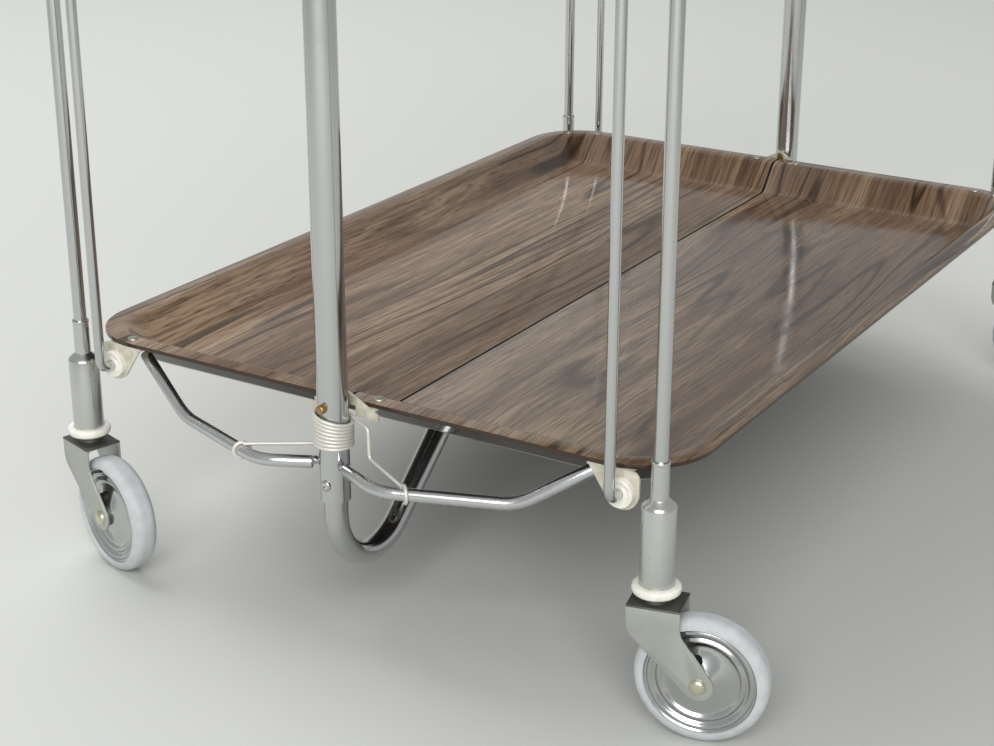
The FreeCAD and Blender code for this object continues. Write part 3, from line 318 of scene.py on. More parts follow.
# ---- Stop pegs: short turned brass pins through each post. The ears of both halves close on them
# and the spring is held down by the lower pair. The brass has dulled to a warm grey-brown.
peg_brass, shader = new_material("dulled_brass", Metallic=1.0)
place = add_node(peg_brass, "ShaderNodeTexCoord")
tarnish = add_node(peg_brass, "ShaderNodeTexNoise", {"Scale": 420.0, "Detail": 4.0},
                   {"Vector": place.outputs["Object"]})
tone = add_node(peg_brass, "ShaderNodeMix",
                {"data_type": "RGBA", 6: srgb("8A6A42"), 7: srgb("CDAE78")},
                {0: tarnish.outputs["Fac"]})
peg_brass.node_tree.links.new(tone.outputs[2], shader.inputs["Base Color"])
shader.inputs["Roughness"].default_value = 0.38
bm = bmesh.new()
for sign in ENDS.values():
    for tier in TIERS.values():
        turned(bm, [(0.0, 0.0), (0.0, 0.0022), (0.0005, 0.0027), (0.0255, 0.0027)]
               + dome(0.0257, 0.0026, 0.0009), (sign * 0.3056, 0, 0.1526 + tier), (sign, 0, 0))
finish_piece("stop_pins", bm, "frame", peg_brass, ["stop_pegs"])


# ---- Handle caps: off-white polyethylene plugs that close the cut ends of the cane handles.
# Moulded plastic: a soft sheen with a faint pebbled skin.
def moulded_plastic(name, light, shade, rough, grain=600.0):
    """Moulded plastic: even colour with slight greying, soft sheen, fine pebbled skin."""
    material, shader = new_material(name, Roughness=rough, IOR=1.5)
    place = add_node(material, "ShaderNodeTexCoord")
    grime = add_node(material, "ShaderNodeTexNoise",
                     {"Scale": 90.0, "Detail": 6.0, "Roughness": 0.7},
                     {"Vector": place.outputs["Object"]})
    amount = add_node(material, "ShaderNodeMapRange", {"From Min": 0.38, "From Max": 0.72},
                      {"Value": grime.outputs["Fac"]})
    tone = add_node(material, "ShaderNodeMix",
                    {"data_type": "RGBA", 6: srgb(light), 7: srgb(shade)},
                    {0: amount.outputs["Result"]})
    skin = add_node(material, "ShaderNodeTexNoise", {"Scale": grain, "Detail": 2.0},
                    {"Vector": place.outputs["Object"]})
    bump = add_node(material, "ShaderNodeBump", {"Strength": 0.12, "Distance": 0.0002},
                    {"Height": skin.outputs["Fac"]})
    material.node_tree.links.new(tone.outputs[2], shader.inputs["Base Color"])
    material.node_tree.links.new(bump.outputs["Normal"], shader.inputs["Normal"])
    return material


cap_plastic = moulded_plastic("polyethylene_cap", "D9D6CB", "BDB9AC", 0.42)
bm = bmesh.new()
for sign in ENDS.values():
    turned(bm, [(0.017, 0.0), (0.017, 0.00725), (0.005, 0.00725), (0.005, 0.009),
                (0.0016, 0.009), (0.0006, 0.0086), (0.0001, 0.0076), (0.0, 0.0)],
           (sign * cane_end_x, 0, cane_end_z - 0.005), (0, 0, 1))
finish_piece("cane_caps", bm, "frame", cap_plastic, ["handle_caps"])


# ---- Arm springs: eight turns of hard-drawn steel wire round the foot of each post, close wound,
# whose tails leave the back of the coil and end in a hook round each arm. The pin holds the top
# turns down on one side, so they fan out. Zinc-dulled wire, nearly white, with no polish.
wire_radius = 0.0011
wire_sides = 12
coil_radius = 0.0109
coil_pitch = 0.0022
coil_foot = 0.1275
coil_turns = 8
coil_lean = 0.25
tail_turn = math.radians(22.2)
eye_radius = 0.0049
eye_y = 0.0575
arm_bends = [(-0.3372, 0.0417, 0.1149), (-0.3112, 0.1179, 0.1155)]
spring_steel = zinc_plate("dull_zinc_spring_wire", "E3DFD7", 0.42, 700.0, metal=0.45)


def flip(point, end, side):
    """The same point at another end or side."""
    return Vector((-end * point[0], side * point[1], point[2]))


def arm_centre(y):
    """Axis of the near left arm between its two bends."""
    inner, outer = (Vector(point) for point in arm_bends)
    return inner.lerp(outer, (y - inner.y) / (outer.y - inner.y))


for end_name, end in ENDS.items():
    bm = bmesh.new()
    post = Vector((end * post_x, 0, 0))
    leave = Vector((-end * math.cos(tail_turn), math.sin(tail_turn), 0)) * coil_radius
    heading = Vector((-end * math.sin(tail_turn), -math.cos(tail_turn), 0))
    angle = 2 * math.pi * coil_turns + 2 * tail_turn
    steps = 36 * coil_turns + 4
    rise = coil_pitch * angle / (2 * math.pi)
    edges = ring_of(bm, post + leave + Vector((0, 0, coil_foot)), heading, wire_radius, wire_sides)
    last = bmesh.ops.spin(bm, geom=edges, cent=post, axis=(0, 0, 1), angle=end * angle,
                          steps=steps, dvec=(0, 0, rise / steps))
    loose = [item for item in last["geom_last"] if isinstance(item, bmesh.types.BMEdge)]
    bmesh.ops.holes_fill(bm, edges=edges, sides=0)
    bmesh.ops.holes_fill(bm, edges=loose, sides=0)
    for vert in bm.verts:
        aside = (vert.co.x - post.x) * end * 0.6 + vert.co.y * 0.8
        vert.co.z += coil_lean * aside * (vert.co.z - coil_foot) / rise
    finish_piece(f"{end_name}_spring_coil", bm, "frame", spring_steel,
                 ["arm_springs"] if end == -1 else [])
    eye_centre = arm_centre(eye_y)
    along = (arm_centre(eye_y + 0.01) - eye_centre).normalized()
    eye_top = eye_centre + Vector((0, 0, 0.0047)) - along * 0.0020
    hooked = Matrix.Rotation(math.radians(-24), 3, "Z") @ along
    back_x = -post_x + coil_radius * math.cos(tail_turn)
    back_y = coil_radius * math.sin(tail_turn)
    routes = {
        "left": ([(back_x, back_y, coil_foot), (-0.3147, 0.0176, 0.1222), eye_top], [0.010]),
        "right": ([(back_x, back_y, coil_foot + rise - 0.0018), (-0.3122, 0.0118, 0.1419),
                   (-0.3168, 0.0227, 0.1412), (-0.3170, 0.0232, 0.1231), eye_top],
                  [0.004, 0.003, 0.003])}
    for side_name, (route, bends) in routes.items():
        side = SIDES[side_name]
        bm = bmesh.new()
        points = [flip(point, end, side) for point in route]
        bent_tube(bm, points, bends, wire_radius, segments=wire_sides)
        tail = finish_piece(f"{end_name}_{side_name}_spring_tail", bm, None,
                            spring_steel)
        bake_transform(tail)
        bm = bmesh.new()
        round_section = [2 * math.pi * step / wire_sides for step in range(wire_sides)]
        turned(bm, [(wire_radius * math.sin(turn), eye_radius + wire_radius * math.cos(turn))
                    for turn in round_section],
               flip(eye_centre, end, side), flip(hooked, end, side), steps=28)
        finish_piece(f"{end_name}_{side_name}_spring_eye", bm, f"lower_{side_name}_half",
                     spring_steel)


# ---- Arms: steel rod, bent cold in wide bends and chromed after bending. The inner end is drawn
# down to a hooked neck that hangs in the post's slot; the outer end rises to the lip by the corner.
arm_radius = 0.00375
neck_radius = 0.0016
neck_x = 0.323
neck_level = 0.1163
arm_chrome = chrome_plate("chromed_arm_rod", "CDCECE", 0.22, 55.0, 0.16)
arm_route = [(-0.3243, 0.0115, 0.1157)] + arm_bends + [(-0.2967, 0.1600, 0.1430)]
for tier_name, rise in TIERS.items():
    for side_name, side in SIDES.items():
        bm = bmesh.new()
        for end in ENDS.values():
            points = [flip(p, end, side) + Vector((0, 0, rise)) for p in arm_route]
            bent_tube(bm, points, [0.028, 0.034], arm_radius, segments=32)
            neck = [flip((-neck_x, y, neck_level - drop), end, side) + Vector((0, 0, rise))
                    for y, drop in ((0.0125, 0.0), (0.0041, 0.0), (0.0041, 0.0040))]
            bent_tube(bm, neck, [0.0018], neck_radius, segments=16)
            knuckle = flip((-neck_x, 0.0113, neck_level), end, side) + Vector((0, 0, rise))
            turned(bm, [(-0.0020, 0.0), (-0.0020, 0.0020), (-0.0016, 0.0023), (0.0016, 0.0023),
                        (0.0020, 0.0020), (0.0020, 0.0)], knuckle, (1, 0, 0), steps=32)
        soften(bm, 0.0007, 2, 60)
        finish_piece(f"{tier_name}_{side_name}_arm_rods", bm, f"{tier_name}_{side_name}_half",
                     arm_chrome, [f"{tier_name}_{side_name}_arms"])


# ---- Half trays: board pressed hot between printed walnut laminates, trimmed at the lip and sawn
# apart along the seam. The print runs lengthwise over floor and rim under a hard glossy melamine
# skin. The edge faces are painted dark brown as painted shade, and a near-black line of painted
# shade runs along the seam. The underside is painted near-black brown as painted shade, with a pale
# painted highlight along the lower bend.
lip_top = 0.1514
tray_drop = 0.0213
sheet_gauge = 0.0026
flange_run = 0.013
rim_run = 0.031
seam_half = 0.0004


def walnut_laminate():
    """Printed walnut under gloss melamine: fibres of 0.7 mm, streaks of 4 mm, growth rings 4 to
    8 mm apart that lean and close into long cathedrals. The pale painted highlight at the lower
    bend is 2 mm high."""
    material, shader = new_material("gloss_walnut_laminate", IOR=1.5)
    place = add_node(material, "ShaderNodeTexCoord")

    def stretched(scale, detail=2.0, rough=0.5, source=None):
        """Noise whose cells measure 1 / scale metres along each axis."""
        mapped = add_node(material, "ShaderNodeMapping", {"Scale": scale},
                          {"Vector": (source or place).outputs[0 if source else "Object"]})
        return add_node(material, "ShaderNodeTexNoise",
                        {"Scale": 1.0, "Detail": detail, "Roughness": rough},
                        {"Vector": mapped.outputs["Vector"]})

    def between(source, low, high, to_low=0.0, to_high=1.0):
        return add_node(material, "ShaderNodeMapRange",
                        {"From Min": low, "From Max": high, "To Min": to_low, "To Max": to_high,
                         "interpolation_type": "SMOOTHSTEP"}, {"Value": source.outputs[0]})

    def product(first, second):
        return add_node(material, "ShaderNodeMath", {"operation": "MULTIPLY"},
                        {0: first.outputs[0], 1: second.outputs[0]})

    def tinted(amount, below, colour):
        factor = amount.outputs["Fac"] if "Fac" in amount.outputs else amount.outputs[0]
        links = {0: factor, 6: below.outputs[2]} if below else {0: factor}
        base = {} if below else {6: srgb("9E8770")}
        return add_node(material, "ShaderNodeMix",
                        {"data_type": "RGBA", 7: srgb(colour), **base}, links)

    sway = stretched((2.6, 7.0, 3.0), 1.0)
    leaning = add_node(material, "ShaderNodeVectorMath",
                       {"operation": "MULTIPLY_ADD", 1: (0.0, 0.036, 0.0)},
                       {0: sway.outputs["Color"], 2: place.outputs["Object"]})
    broad = between(stretched((3.0, 26.0, 3.0), 2.0, source=leaning), 0.38, 0.62)
    fibre = between(stretched((30.0, 900.0, 3.0), 2.0, source=leaning), 0.40, 0.64, 0.0, 0.55)
    streak = between(stretched((7.0, 170.0, 3.0), 3.0, 0.6, leaning), 0.42, 0.66, 0.0, 0.55)
    pore = between(stretched((60.0, 1300.0, 3.0), 1.0, source=leaning), 0.60, 0.70, 0.0, 0.60)
    figure = stretched((1.1, 20.0, 3.0), 1.5, 0.4, leaning)
    rings = add_node(material, "ShaderNodeMath", {"operation": "MULTIPLY", 1: 12.0},
                     {0: figure.outputs["Fac"]})
    wrapped = add_node(material, "ShaderNodeMath", {"operation": "PINGPONG", 1: 0.5},
                       {0: rings.outputs[0]})
    growth = between(wrapped, 0.01, 0.17, 1.0, 0.0)
    strength = between(stretched((5.0, 14.0, 3.0), 2.0, source=leaning), 0.38, 0.60, 0.20, 0.92)
    tone = tinted(broad, None, "7C6551")
    tone = tinted(fibre, tone, "4C3A2D")
    tone = tinted(streak, tone, "513D2F")
    tone = tinted(product(growth, strength), tone, "3B2B20")
    tone = tinted(pore, tone, "2A1D15")

    height = add_node(material, "ShaderNodeSeparateXYZ", None, {0: place.outputs["Object"]})
    in_tier = add_node(material, "ShaderNodeMath", {"operation": "MODULO", 1: 0.36},
                       {0: height.outputs["Z"]})
    bend = add_node(material, "ShaderNodeMath",
                    {"operation": "COMPARE", 1: lip_top - tray_drop - 0.0003, 2: 0.0010},
                    {0: in_tier.outputs[0]})
    beside = add_node(material, "ShaderNodeMath", {"operation": "ABSOLUTE"},
                      {0: height.outputs["Y"]})
    seam = add_node(material, "ShaderNodeMath", {"operation": "LESS_THAN", 1: 0.0010},
                    {0: beside.outputs[0]})
    # painted shade and painted highlight: underside faces are painted near-black brown, and a 2 mm
    # band at the lower bend is painted pale
    underside_shade_and_highlight = add_node(material, "ShaderNodeMix",
                    {"data_type": "RGBA", 6: srgb("1F150F"), 7: srgb("A89B82")},
                    {0: bend.outputs[0]})
    edge = add_node(material, "ShaderNodeAttribute", {"attribute_name": "trimmed_edge"})
    below = add_node(material, "ShaderNodeAttribute", {"attribute_name": "painted_underside_shade"})
    # painted shade: the edge faces are painted dark brown
    skin = tinted(edge, tone, "37261B")
    skin = add_node(material, "ShaderNodeMix", {"data_type": "RGBA"},
                    {0: below.outputs["Fac"], 6: skin.outputs[2], 7: underside_shade_and_highlight.outputs[2]})
    # painted shade: a near-black line along the seam stands in for the shaded gap between the
    # halves
    skin = tinted(seam, skin, "120C08")
    smear = add_node(material, "ShaderNodeTexNoise",
                     {"Scale": 14.0, "Detail": 6.0, "Roughness": 0.7},
                     {"Vector": place.outputs["Object"]})
    gloss = between(smear, 0.35, 0.75, 0.10, 0.19)
    press = add_node(material, "ShaderNodeTexNoise", {"Scale": 120.0, "Detail": 2.0},
                     {"Vector": place.outputs["Object"]})
    bump = add_node(material, "ShaderNodeBump", {"Strength": 0.02, "Distance": 0.0002},
                    {"Height": press.outputs["Fac"]})
    tree = material.node_tree
    tree.links.new(skin.outputs[2], shader.inputs["Base Color"])
    tree.links.new(gloss.outputs[0], shader.inputs["Roughness"])
    tree.links.new(bump.outputs["Normal"], shader.inputs["Normal"])
    return material


def rim_profile():
    """Inward steps (run, drop) from the lip's edge to the foot of the rim, with both bends."""
    slope = math.atan2(tray_drop, rim_run - flange_run)
    points = [(0.0, 0.0)]
    reach = 0.008 * math.tan(slope / 2)
    for step in range(9):
        angle = slope * step / 8
        points.append((flange_run - reach + 0.008 * math.sin(angle), 0.008 * (1 - math.cos(angle))))
    reach = 0.010 * math.tan(slope / 2)
    for step in range(9):
        angle = slope * (1 - step / 8)
        points.append((rim_run + reach - 0.010 * math.sin(angle),
                       tray_drop - 0.010 * (1 - math.cos(angle))))
    return points


def tray_half(side, rise):
    """Plate with rounded corners, inset step by step down the rim, then sawn at the seam."""
    bm = bmesh.new()
    bmesh.ops.create_grid(bm, x_segments=1, y_segments=1, size=1.0,
                          matrix=Matrix.Translation((0, 0, lip_top + rise))
                          @ Matrix.Diagonal((0.305, 0.210, 1, 1)))
    bmesh.ops.bevel(bm, geom=bm.verts[:], offset=0.045, segments=20, affect="VERTICES",
                    profile=0.5, material=-1)
    floor = max(bm.faces, key=lambda face: face.calc_area())
    steps = rim_profile()
    for (run_a, drop_a), (run_b, drop_b) in zip(steps, steps[1:]):
        bmesh.ops.inset_region(bm, faces=[floor], thickness=run_b - run_a, use_boundary=True,
                                use_even_offset=True)
        for vert in floor.verts:
            vert.co.z -= drop_b - drop_a
    bmesh.ops.recalc_face_normals(bm, faces=bm.faces)
    if floor.normal.z < 0:
        bmesh.ops.reverse_faces(bm, faces=bm.faces)
    bmesh.ops.bisect_plane(bm, geom=bm.verts[:] + bm.edges[:] + bm.faces[:], dist=1e-7,
                           plane_co=(0, side * seam_half, 0), plane_no=(0, -side, 0),
                           clear_outer=True)
    bmesh.ops.solidify(bm, geom=bm.faces[:], thickness=sheet_gauge)
    soften(bm, 0.0003, 2, 50)
    return bm


laminate = walnut_laminate()
for tier_name, rise in TIERS.items():
    for side_name, side in SIDES.items():
        bm = tray_half(side, rise)
        bm.normal_update()
        edge_mark, underside_shade_mark = (bm.faces.layers.float.new(name)
                                   for name in ("trimmed_edge", "painted_underside_shade"))
        # edge faces and underside faces are marked here for the painted shade in the laminate
        for face in bm.faces:
            face[edge_mark] = float(abs(face.normal.z) < 0.5)
            face[underside_shade_mark] = float(face.normal.z < -0.5)
        finish_piece(f"{tier_name}_{side_name}_tray_board", bm, f"{tier_name}_{side_name}_half",
                     laminate, [f"{tier_name}_{side_name}_tray"], 25)


# ---- Brackets and ears: 1.6 mm steel blanks, folded under the lip and stoved in cream enamel.
# The film is thin and a little uneven.
def stoved_enamel():
    """Cream stoving enamel: satin film, light mottling, grime in patches of about 5 mm."""
    material, shader = new_material("cream_stoving_enamel", Roughness=0.36)
    place = add_node(material, "ShaderNodeTexCoord")
    grime = add_node(material, "ShaderNodeTexNoise",
                     {"Scale": 160.0, "Detail": 6.0, "Roughness": 0.7},
                     {"Vector": place.outputs["Object"]})
    amount = add_node(material, "ShaderNodeMapRange", {"From Min": 0.40, "From Max": 0.72},
                      {"Value": grime.outputs["Fac"]})
    tone = add_node(material, "ShaderNodeMix",
                    {"data_type": "RGBA", 6: srgb("CFCBBB"), 7: srgb("A8A392")},
                    {0: amount.outputs["Result"]})
    bump = add_node(material, "ShaderNodeBump", {"Strength": 0.15, "Distance": 0.0003},
                    {"Height": grime.outputs["Fac"]})
    material.node_tree.links.new(tone.outputs[2], shader.inputs["Base Color"])
    material.node_tree.links.new(bump.outputs["Normal"], shader.inputs["Normal"])
    return material


def blank_of(node):
    """Clean copy of a flat-faced solid: its triangles merged back into whole faces."""
    bm = bmesh.new()
    bm.from_mesh(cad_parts[node].data)
    bmesh.ops.remove_doubles(bm, verts=bm.verts, dist=1e-6)
    bmesh.ops.dissolve_limit(bm, angle_limit=math.radians(1), verts=bm.verts, edges=bm.edges)
    return bm


enamel = stoved_enamel()
for tier_name in TIERS:
    for side_name in SIDES:
        bm = blank_of(f"{tier_name}_{side_name}_brackets")
        soften(bm, 0.00035, 2, 50)
        finish_piece(f"{tier_name}_{side_name}_enamel_plates", bm,
                     f"{tier_name}_{side_name}_half", enamel,
                     [f"{tier_name}_{side_name}_brackets"])


# ---- Pivot bushes: white nylon, turned flange with a shallow ring and a hub through the bracket.
hanger_y = 0.178
hanger_z = 0.1358
hanger_face = 0.3046
bush_nylon = moulded_plastic("white_nylon_bush", "EDEAE0", "CFCBBE", 0.30)
for tier_name, rise in TIERS.items():
    for side_name, side in SIDES.items():
        bm = bmesh.new()
        for end in ENDS.values():
            turned(bm, [(-0.0022, 0.0032), (0.0040, 0.0032), (0.0040, 0.0045), (0.0036, 0.0049),
                        (0.0036, 0.0062), (0.0040, 0.0066), (0.0040, 0.0078), (0.0036, 0.0083),
                        (0.0028, 0.0085), (0.0, 0.0085), (0.0, 0.0044), (-0.0019, 0.0044)],
                   (end * hanger_face, side * hanger_y, hanger_z + rise), (end, 0, 0))
        finish_piece(f"{tier_name}_{side_name}_nylon_bushes", bm, f"{tier_name}_{side_name}_half",
                     bush_nylon, [f"{tier_name}_{side_name}_bushes"])


# ---- Rivets: soft aluminium with a pan head on the laminate, upset under the bracket flange.
rivet_metal = zinc_plate("soft_aluminium_rivet", "D9D6CC", 0.40, 500.0)
for tier_name, rise in TIERS.items():
    for side_name, side in SIDES.items():
        bm = bmesh.new()
        for end in ENDS.values():
            for y in (0.1685, 0.0172):
                turned(bm, [(-0.0053, 0.0), (-0.0053, 0.0022), (-0.0050, 0.0026),
                            (-0.0042, 0.0026), (-0.0042, 0.0016), (0.0, 0.0016), (0.0, 0.0034)]
                       + dome(0.0002, 0.0034, 0.0011, flat=0.0012),
                       (end * 0.2976, side * y, lip_top + rise), (0, 0, 1), steps=28)
        finish_piece(f"{tier_name}_{side_name}_pan_rivets", bm, f"{tier_name}_{side_name}_half",
                     rivet_metal, [f"{tier_name}_{side_name}_rivets"])


# ---- Hanger rods: 6 mm chromed rod. The foot turns through the lower bush and is upset behind
# it, a stub does the same at the upper bush, and the top arches over into the leg tube.
rod_x = 0.318
rod_radius = 0.0031
leg_x, leg_y = 0.3075, 0.2023
leg_top = 0.535
arch_bend = 0.013
rod_chrome = chrome_plate("chromed_hanger_rod", "C4C5C5", 0.11, 45.0)
CORNERS = {f"{end}_{side}": (ENDS[end], SIDES[side]) for end in ENDS for side in SIDES}
for corner, (end, side) in CORNERS.items():
    bm = bmesh.new()
    peak = leg_top + arch_bend
    points = [flip(p, end, side) for p in (
        (-0.3012, hanger_y, hanger_z), (-rod_x, hanger_y, hanger_z), (-rod_x, hanger_y, peak),
        (-leg_x, leg_y, peak), (-leg_x, leg_y, leg_top - 0.014))]
    bent_tube(bm, points, [0.0065, arch_bend, arch_bend], rod_radius, segments=32)
    for rise in TIERS.values():
        foot = (end * rod_x, side * hanger_y, hanger_z + rise)
        if rise:
            bent_tube(bm, [foot, flip((-0.3012, hanger_y, hanger_z + rise), end, side)], [],
                      rod_radius, segments=32)
        turned(bm, [(0.0, 0.0), (0.0, 0.0044), (0.0003, 0.0050), (0.0009, 0.0050),
                    (0.0012, 0.0044), (0.0012, 0.0)],
               (end * 0.3024, side * hanger_y, hanger_z + rise), (-end, 0, 0))
    finish_piece(f"{corner}_hanger", bm, f"{corner}_leg", rod_chrome,
                 [f"{corner}_hanger_rod"])


# ---- Leg tubes: 8 mm chromed tube, seam welded, pressed into the ferrule of the caster socket.
leg_chrome = chrome_plate("chromed_leg_tube", "C4C5C5", 0.11, 40.0)
for corner, (end, side) in CORNERS.items():
    bm = bmesh.new()
    turned(bm, [(0.1333, 0.00315), (0.1333, 0.004), (leg_top - 0.0004, 0.004),
                (leg_top, 0.0037), (leg_top, 0.00315)],
           (end * leg_x, side * leg_y, 0), (0, 0, 1), steps=36)
    finish_piece(f"{corner}_tube", bm, f"{corner}_leg", leg_chrome,
                 [f"{corner}_leg_tube"])


# ---- Caster sockets: pressed and swaged steel with a satin chrome finish, a crimped ferrule round
# the leg above and the swivel bearing inside. The polish runs round it, so lights smear upright.
def satin_chrome():
    """Satin chrome: brushed round the axis in lines finer than 0.2 mm, drawn here as 0.3 mm."""
    material, shader = new_material("satin_chrome_socket", Metallic=1.0, Base_Color=srgb("CBCCC9"))
    place = add_node(material, "ShaderNodeTexCoord")
    flat = add_node(material, "ShaderNodeMapping", {"Scale": (0.04, 0.04, 1.0)},
                    {"Vector": place.outputs["Object"]})
    lines = add_node(material, "ShaderNodeTexNoise", {"Scale": 2600.0, "Detail": 3.0},
                     {"Vector": flat.outputs["Vector"]})
    cloud = add_node(material, "ShaderNodeTexNoise", {"Scale": 60.0, "Detail": 5.0},
                     {"Vector": place.outputs["Object"]})
    level = add_node(material, "ShaderNodeMapRange",
                     {"From Min": 0.35, "From Max": 0.7, "To Min": 0.20, "To Max": 0.31},
                     {"Value": cloud.outputs["Fac"]})
    bump = add_node(material, "ShaderNodeBump", {"Strength": 0.03, "Distance": 0.0002},
                    {"Height": lines.outputs["Fac"]})
    material.node_tree.links.new(level.outputs["Result"], shader.inputs["Roughness"])
    material.node_tree.links.new(bump.outputs["Normal"], shader.inputs["Normal"])
    return material


socket_satin = satin_chrome()
for corner, (end, side) in CORNERS.items():
    bm = bmesh.new()
    turned(bm, [(0.0834, 0.0056), (0.0834, 0.0091), (0.0838, 0.0095), (0.1346, 0.0095),
                (0.1354, 0.0092), (0.1368, 0.0078), (0.1384, 0.0058), (0.1394, 0.0050),
                (0.1590, 0.0049), (0.1593, 0.0052), (0.1604, 0.0052), (0.1608, 0.0049),
                (0.1608, 0.00415), (0.133, 0.00415), (0.133, 0.0), (0.127, 0.0), (0.127, 0.0056)],
           (end * leg_x, side * leg_y, 0), (0, 0, 1), steps=48)
    finish_piece(f"{corner}_socket", bm, f"{corner}_leg", socket_satin,
                 [f"{corner}_caster_socket"])


# ---- Socket rings: split rings of white plastic snapped round the foot of each socket, rounded
# and slightly yellowed, with a fine upright mould line.
ring_plastic = moulded_plastic("white_bumper_ring", "EEECE3", "D0CDC1", 0.34)
for corner, (end, side) in CORNERS.items():
    bm = bmesh.new()
    outline = [(0.0843, 0.00965)]
    for centre_z, first in ((0.0865, -90), (0.0875, 0)):
        for step in range(7):
            angle = math.radians(first + 15 * step)
            outline.append((centre_z + 0.0022 * math.sin(angle), 0.0113 + 0.0022 * math.cos(angle)))
    outline.append((0.0897, 0.00965))
    turned(bm, outline, (end * leg_x, side * leg_y, 0), (0, 0, 1), steps=56)
    finish_piece(f"{corner}_ring", bm, f"{corner}_leg", ring_plastic,
                 [f"{corner}_socket_ring"])


# ---- Caster forks: one steel blank, pressed into two swept cheeks, plated with bright zinc, with
# the swivel stem riveted through its top. The edges are rounded by tumbling. The top plate and the
# stem are painted nearly black: painted shade under the socket, together with old grease.
HEADINGS = {"near_right": -77, "near_left": -107, "far_right": -80, "far_left": 100}
fork_top = 0.0793
fork_zinc = zinc_plate("bright_zinc_fork", "BBBEB7", 0.38, 380.0, metal=0.7)
place = add_node(fork_zinc, "ShaderNodeTexCoord")
height = add_node(fork_zinc, "ShaderNodeSeparateXYZ", None, {0: place.outputs["Object"]})
lifted = add_node(fork_zinc, "ShaderNodeMapRange",
                  {"From Min": fork_top - 0.0004, "From Max": fork_top, "To Max": 0.8},
                  {"Value": height.outputs["Z"]})
shader = fork_zinc.node_tree.nodes["Principled BSDF"]
plated = shader.inputs["Base Color"].links[0].from_socket
# painted shade and grease: the top plate and stem are painted nearly black, for the shade under the
# socket and for old grease
shade_and_grease = add_node(fork_zinc, "ShaderNodeMix", {"data_type": "RGBA", 7: srgb("34322D")},
                   {0: lifted.outputs["Result"], 6: plated})
fork_zinc.node_tree.links.new(shade_and_grease.outputs[2], shader.inputs["Base Color"])
for corner in CORNERS:
    bm = blank_of(f"{corner}_caster_fork")
    soften(bm, 0.0004, 2, 50)
    finish_piece(f"{corner}_fork", bm, f"{corner}_caster", fork_zinc,
                 [f"{corner}_caster_fork"])


def wheel_place(corner):
    """Wheel centre and axle direction of a corner's caster."""
    end, side = CORNERS[corner]
    heading = math.radians(HEADINGS[corner])
    centre = Vector((end * leg_x + 0.027 * math.cos(heading),
                     side * leg_y + 0.027 * math.sin(heading), 0.0375))
    return centre, Vector((-math.sin(heading), math.cos(heading), 0))


# ---- Axles: plated steel rivets with a full dome outside each cheek.
axle_zinc = zinc_plate("plated_axle_rivet", "DDD9C2", 0.24, 500.0)
for corner in CORNERS:
    centre, axle = wheel_place(corner)
    bm = bmesh.new()
    right = dome(0.0122, 0.0046, 0.0023, 7, 0.0006)
    turned(bm, [(-a, r) for a, r in reversed(right)] + [(-0.0121, 0.0046), (-0.0121, 0.003),
                (0.0121, 0.003), (0.0121, 0.0046)] + right, centre, axle)
    finish_piece(f"{corner}_axle", bm, f"{corner}_caster", axle_zinc,
                 [f"{corner}_caster_axle"])


# ---- Wheel discs: two thin pressings back to back, chromed: a cone out of the hub, then a dish, a
# ridge, a groove and a curled rim rolled round them, and one oval hole through both.
def pierced(bm, cutter):
    """One closed skin less another."""
    pieces = []
    for skin in (bm, cutter):
        mesh = bpy.data.meshes.new("skin")
        skin.to_mesh(mesh)
        skin.free()
        pieces.append(bpy.data.objects.new("skin", mesh))
        bpy.context.scene.collection.objects.link(pieces[-1])
    cut = pieces[0].modifiers.new("cut", "BOOLEAN")
    cut.operation = "DIFFERENCE"
    cut.solver = "EXACT"
    cut.object = pieces[1]
    result = bmesh.new()
    result.from_object(pieces[0], bpy.context.evaluated_depsgraph_get())
    for piece in pieces:
        bpy.data.objects.remove(piece)
    return result


disc_chrome = chrome_plate("chromed_wheel_pressing", "C0C1C0", 0.16, 90.0, 0.14)
face_profile = [(0.0100, 0.0031), (0.0100, 0.0052), (0.0097, 0.0058), (0.0090, 0.0065),
                (0.0080, 0.0086), (0.0068, 0.0112), (0.0056, 0.0140), (0.0045, 0.0168),
                (0.0038, 0.0193), (0.0036, 0.0204), (0.0039, 0.0213), (0.0046, 0.0221),
                (0.0052, 0.0228), (0.0053, 0.0234), (0.0051, 0.0240), (0.0045, 0.0247),
                (0.0042, 0.0253), (0.0044, 0.0260), (0.0052, 0.0268), (0.0059, 0.0275),
                (0.0062, 0.0281), (0.0062, 0.0287), (0.0059, 0.0293), (0.0057, 0.0298),
                (0.0060, 0.0304), (0.0063, 0.0308), (0.0061, 0.0311)]
for corner in CORNERS:
    centre, axle = wheel_place(corner)
    bm = bmesh.new()
    turned(bm, face_profile + [(-a, r) for a, r in reversed(face_profile)], centre, axle,
           steps=96)
    outward = Matrix.Rotation(math.radians(-30), 4, axle) @ Vector((0, 0, 1))
    sideways = outward.cross(axle)
    turn = Matrix((sideways, outward, axle)).transposed().to_4x4()
    hole = bmesh.new()
    bmesh.ops.create_grid(hole, x_segments=1, y_segments=1, size=1.0,
                          matrix=Matrix.Diagonal((0.0075, 0.0032, 1, 1)))
    bmesh.ops.bevel(hole, geom=hole.verts[:], offset=0.003, segments=8, affect="VERTICES",
                    profile=0.5, material=-1)
    wall = bmesh.ops.extrude_face_region(hole, geom=hole.faces[:])["geom"]
    bmesh.ops.translate(hole, verts=[v for v in wall if isinstance(v, bmesh.types.BMVert)],
                        vec=(0, 0, 0.04))
    bmesh.ops.recalc_face_normals(hole, faces=hole.faces)
    bmesh.ops.transform(hole, verts=hole.verts, matrix=Matrix.Translation(
        centre + outward * 0.0118 - axle * 0.02) @ turn)
    bmesh.ops.recalc_face_normals(bm, faces=bm.faces)
    finish_piece(f"{corner}_disc", pierced(bm, hole), f"{corner}_wheel",
                 disc_chrome, [f"{corner}_wheel_disc"])


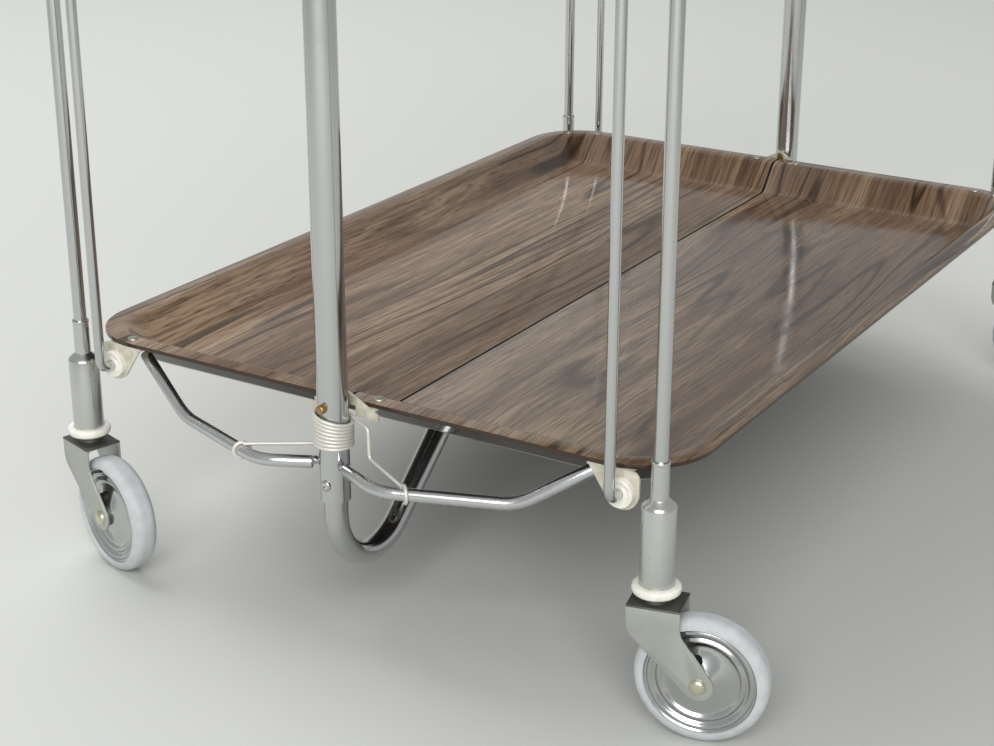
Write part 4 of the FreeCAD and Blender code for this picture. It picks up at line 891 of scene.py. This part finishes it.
# ---- Tyres: light grey non-marking rubber, moulded with a full round tread, dulled by floor dust.
def grey_rubber():
    """Non-marking rubber: matt grey with dust patches of 5 to 20 mm and a fine worn grain."""
    material, shader = new_material("grey_tread_rubber", Roughness=0.62, Specular_IOR_Level=0.4)
    place = add_node(material, "ShaderNodeTexCoord")
    dust = add_node(material, "ShaderNodeTexNoise",
                    {"Scale": 75.0, "Detail": 7.0, "Roughness": 0.72},
                    {"Vector": place.outputs["Object"]})
    amount = add_node(material, "ShaderNodeMapRange", {"From Min": 0.36, "From Max": 0.70},
                      {"Value": dust.outputs["Fac"]})
    tone = add_node(material, "ShaderNodeMix",
                    {"data_type": "RGBA", 6: srgb("C2C6C8"), 7: srgb("AEB1B2")},
                    {0: amount.outputs["Result"]})
    grain = add_node(material, "ShaderNodeTexNoise", {"Scale": 800.0, "Detail": 3.0},
                     {"Vector": place.outputs["Object"]})
    bump = add_node(material, "ShaderNodeBump", {"Strength": 0.2, "Distance": 0.0003},
                    {"Height": grain.outputs["Fac"]})
    material.node_tree.links.new(tone.outputs[2], shader.inputs["Base Color"])
    material.node_tree.links.new(bump.outputs["Normal"], shader.inputs["Normal"])
    return material


tyre_rubber = grey_rubber()
for corner in CORNERS:
    centre, axle = wheel_place(corner)
    bm = bmesh.new()
    section = [(0.0063, 0.03116), (0.0074, 0.03116), (0.0079, 0.0313)]
    for step in range(13):
        angle = math.radians(7.5 * step)
        section.append((0.0022 + 0.0060 * math.cos(angle), 0.0315 + 0.0059 * math.sin(angle)))
    turned(bm, section + [(-a, r) for a, r in reversed(section)], centre, axle, steps=96)
    finish_piece(f"{corner}_tread", bm, f"{corner}_wheel", tyre_rubber,
                 [f"{corner}_tyre"])


# ---- Stage: a plain pale floor, two large soft lamps and a pale sky. The metal mirrors that same
# floor and sky. The overhead lamp is kept out of mirrors, or the glossy rims would show it.
floor_material, shader = new_material("studio_floor", Base_Color=srgb("C4C5C1"), Roughness=0.8,
                                      Specular_IOR_Level=0.0)
bm = bmesh.new()
bmesh.ops.create_grid(bm, x_segments=1, y_segments=1, size=6.0)
floor_mesh = bpy.data.meshes.new("studio_floor")
bm.to_mesh(floor_mesh)
bm.free()
floor_mesh.materials.append(floor_material)
studio_floor = bpy.data.objects.new("studio_floor", floor_mesh)
bpy.context.scene.collection.objects.link(studio_floor)


def soft_box(name, place, target, size, power, mirrored=True):
    """Large soft lamp aimed at a point; mirrors may be kept from seeing it."""
    lamp = bpy.data.lights.new(name, "AREA")
    lamp.shape = "RECTANGLE"
    lamp.size, lamp.size_y = size
    lamp.energy = power
    box = bpy.data.objects.new(name, lamp)
    box.visible_glossy = mirrored
    bpy.context.scene.collection.objects.link(box)
    box.matrix_world = (Matrix.Translation(place)
                        @ (Vector(target) - Vector(place)).to_track_quat("-Z", "Y")
                        .to_matrix().to_4x4())


soft_box("key", (0.5, 1.6, 3.0), (0, 0, 0.2), (2.6, 2.6), 84, mirrored=False)
soft_box("fill", (-2.7, -1.3, 1.9), (-0.3, 0, 0.2), (2.4, 1.8), 88)
world = bpy.data.worlds.new("studio")
bpy.context.scene.world = world
world.use_nodes = True
sky = world.node_tree.nodes["Background"]
sky.inputs["Color"].default_value = srgb("E6E8E8")
sky.inputs["Strength"].default_value = 0.58
view = bpy.context.scene.view_settings
view.view_transform = "Standard"
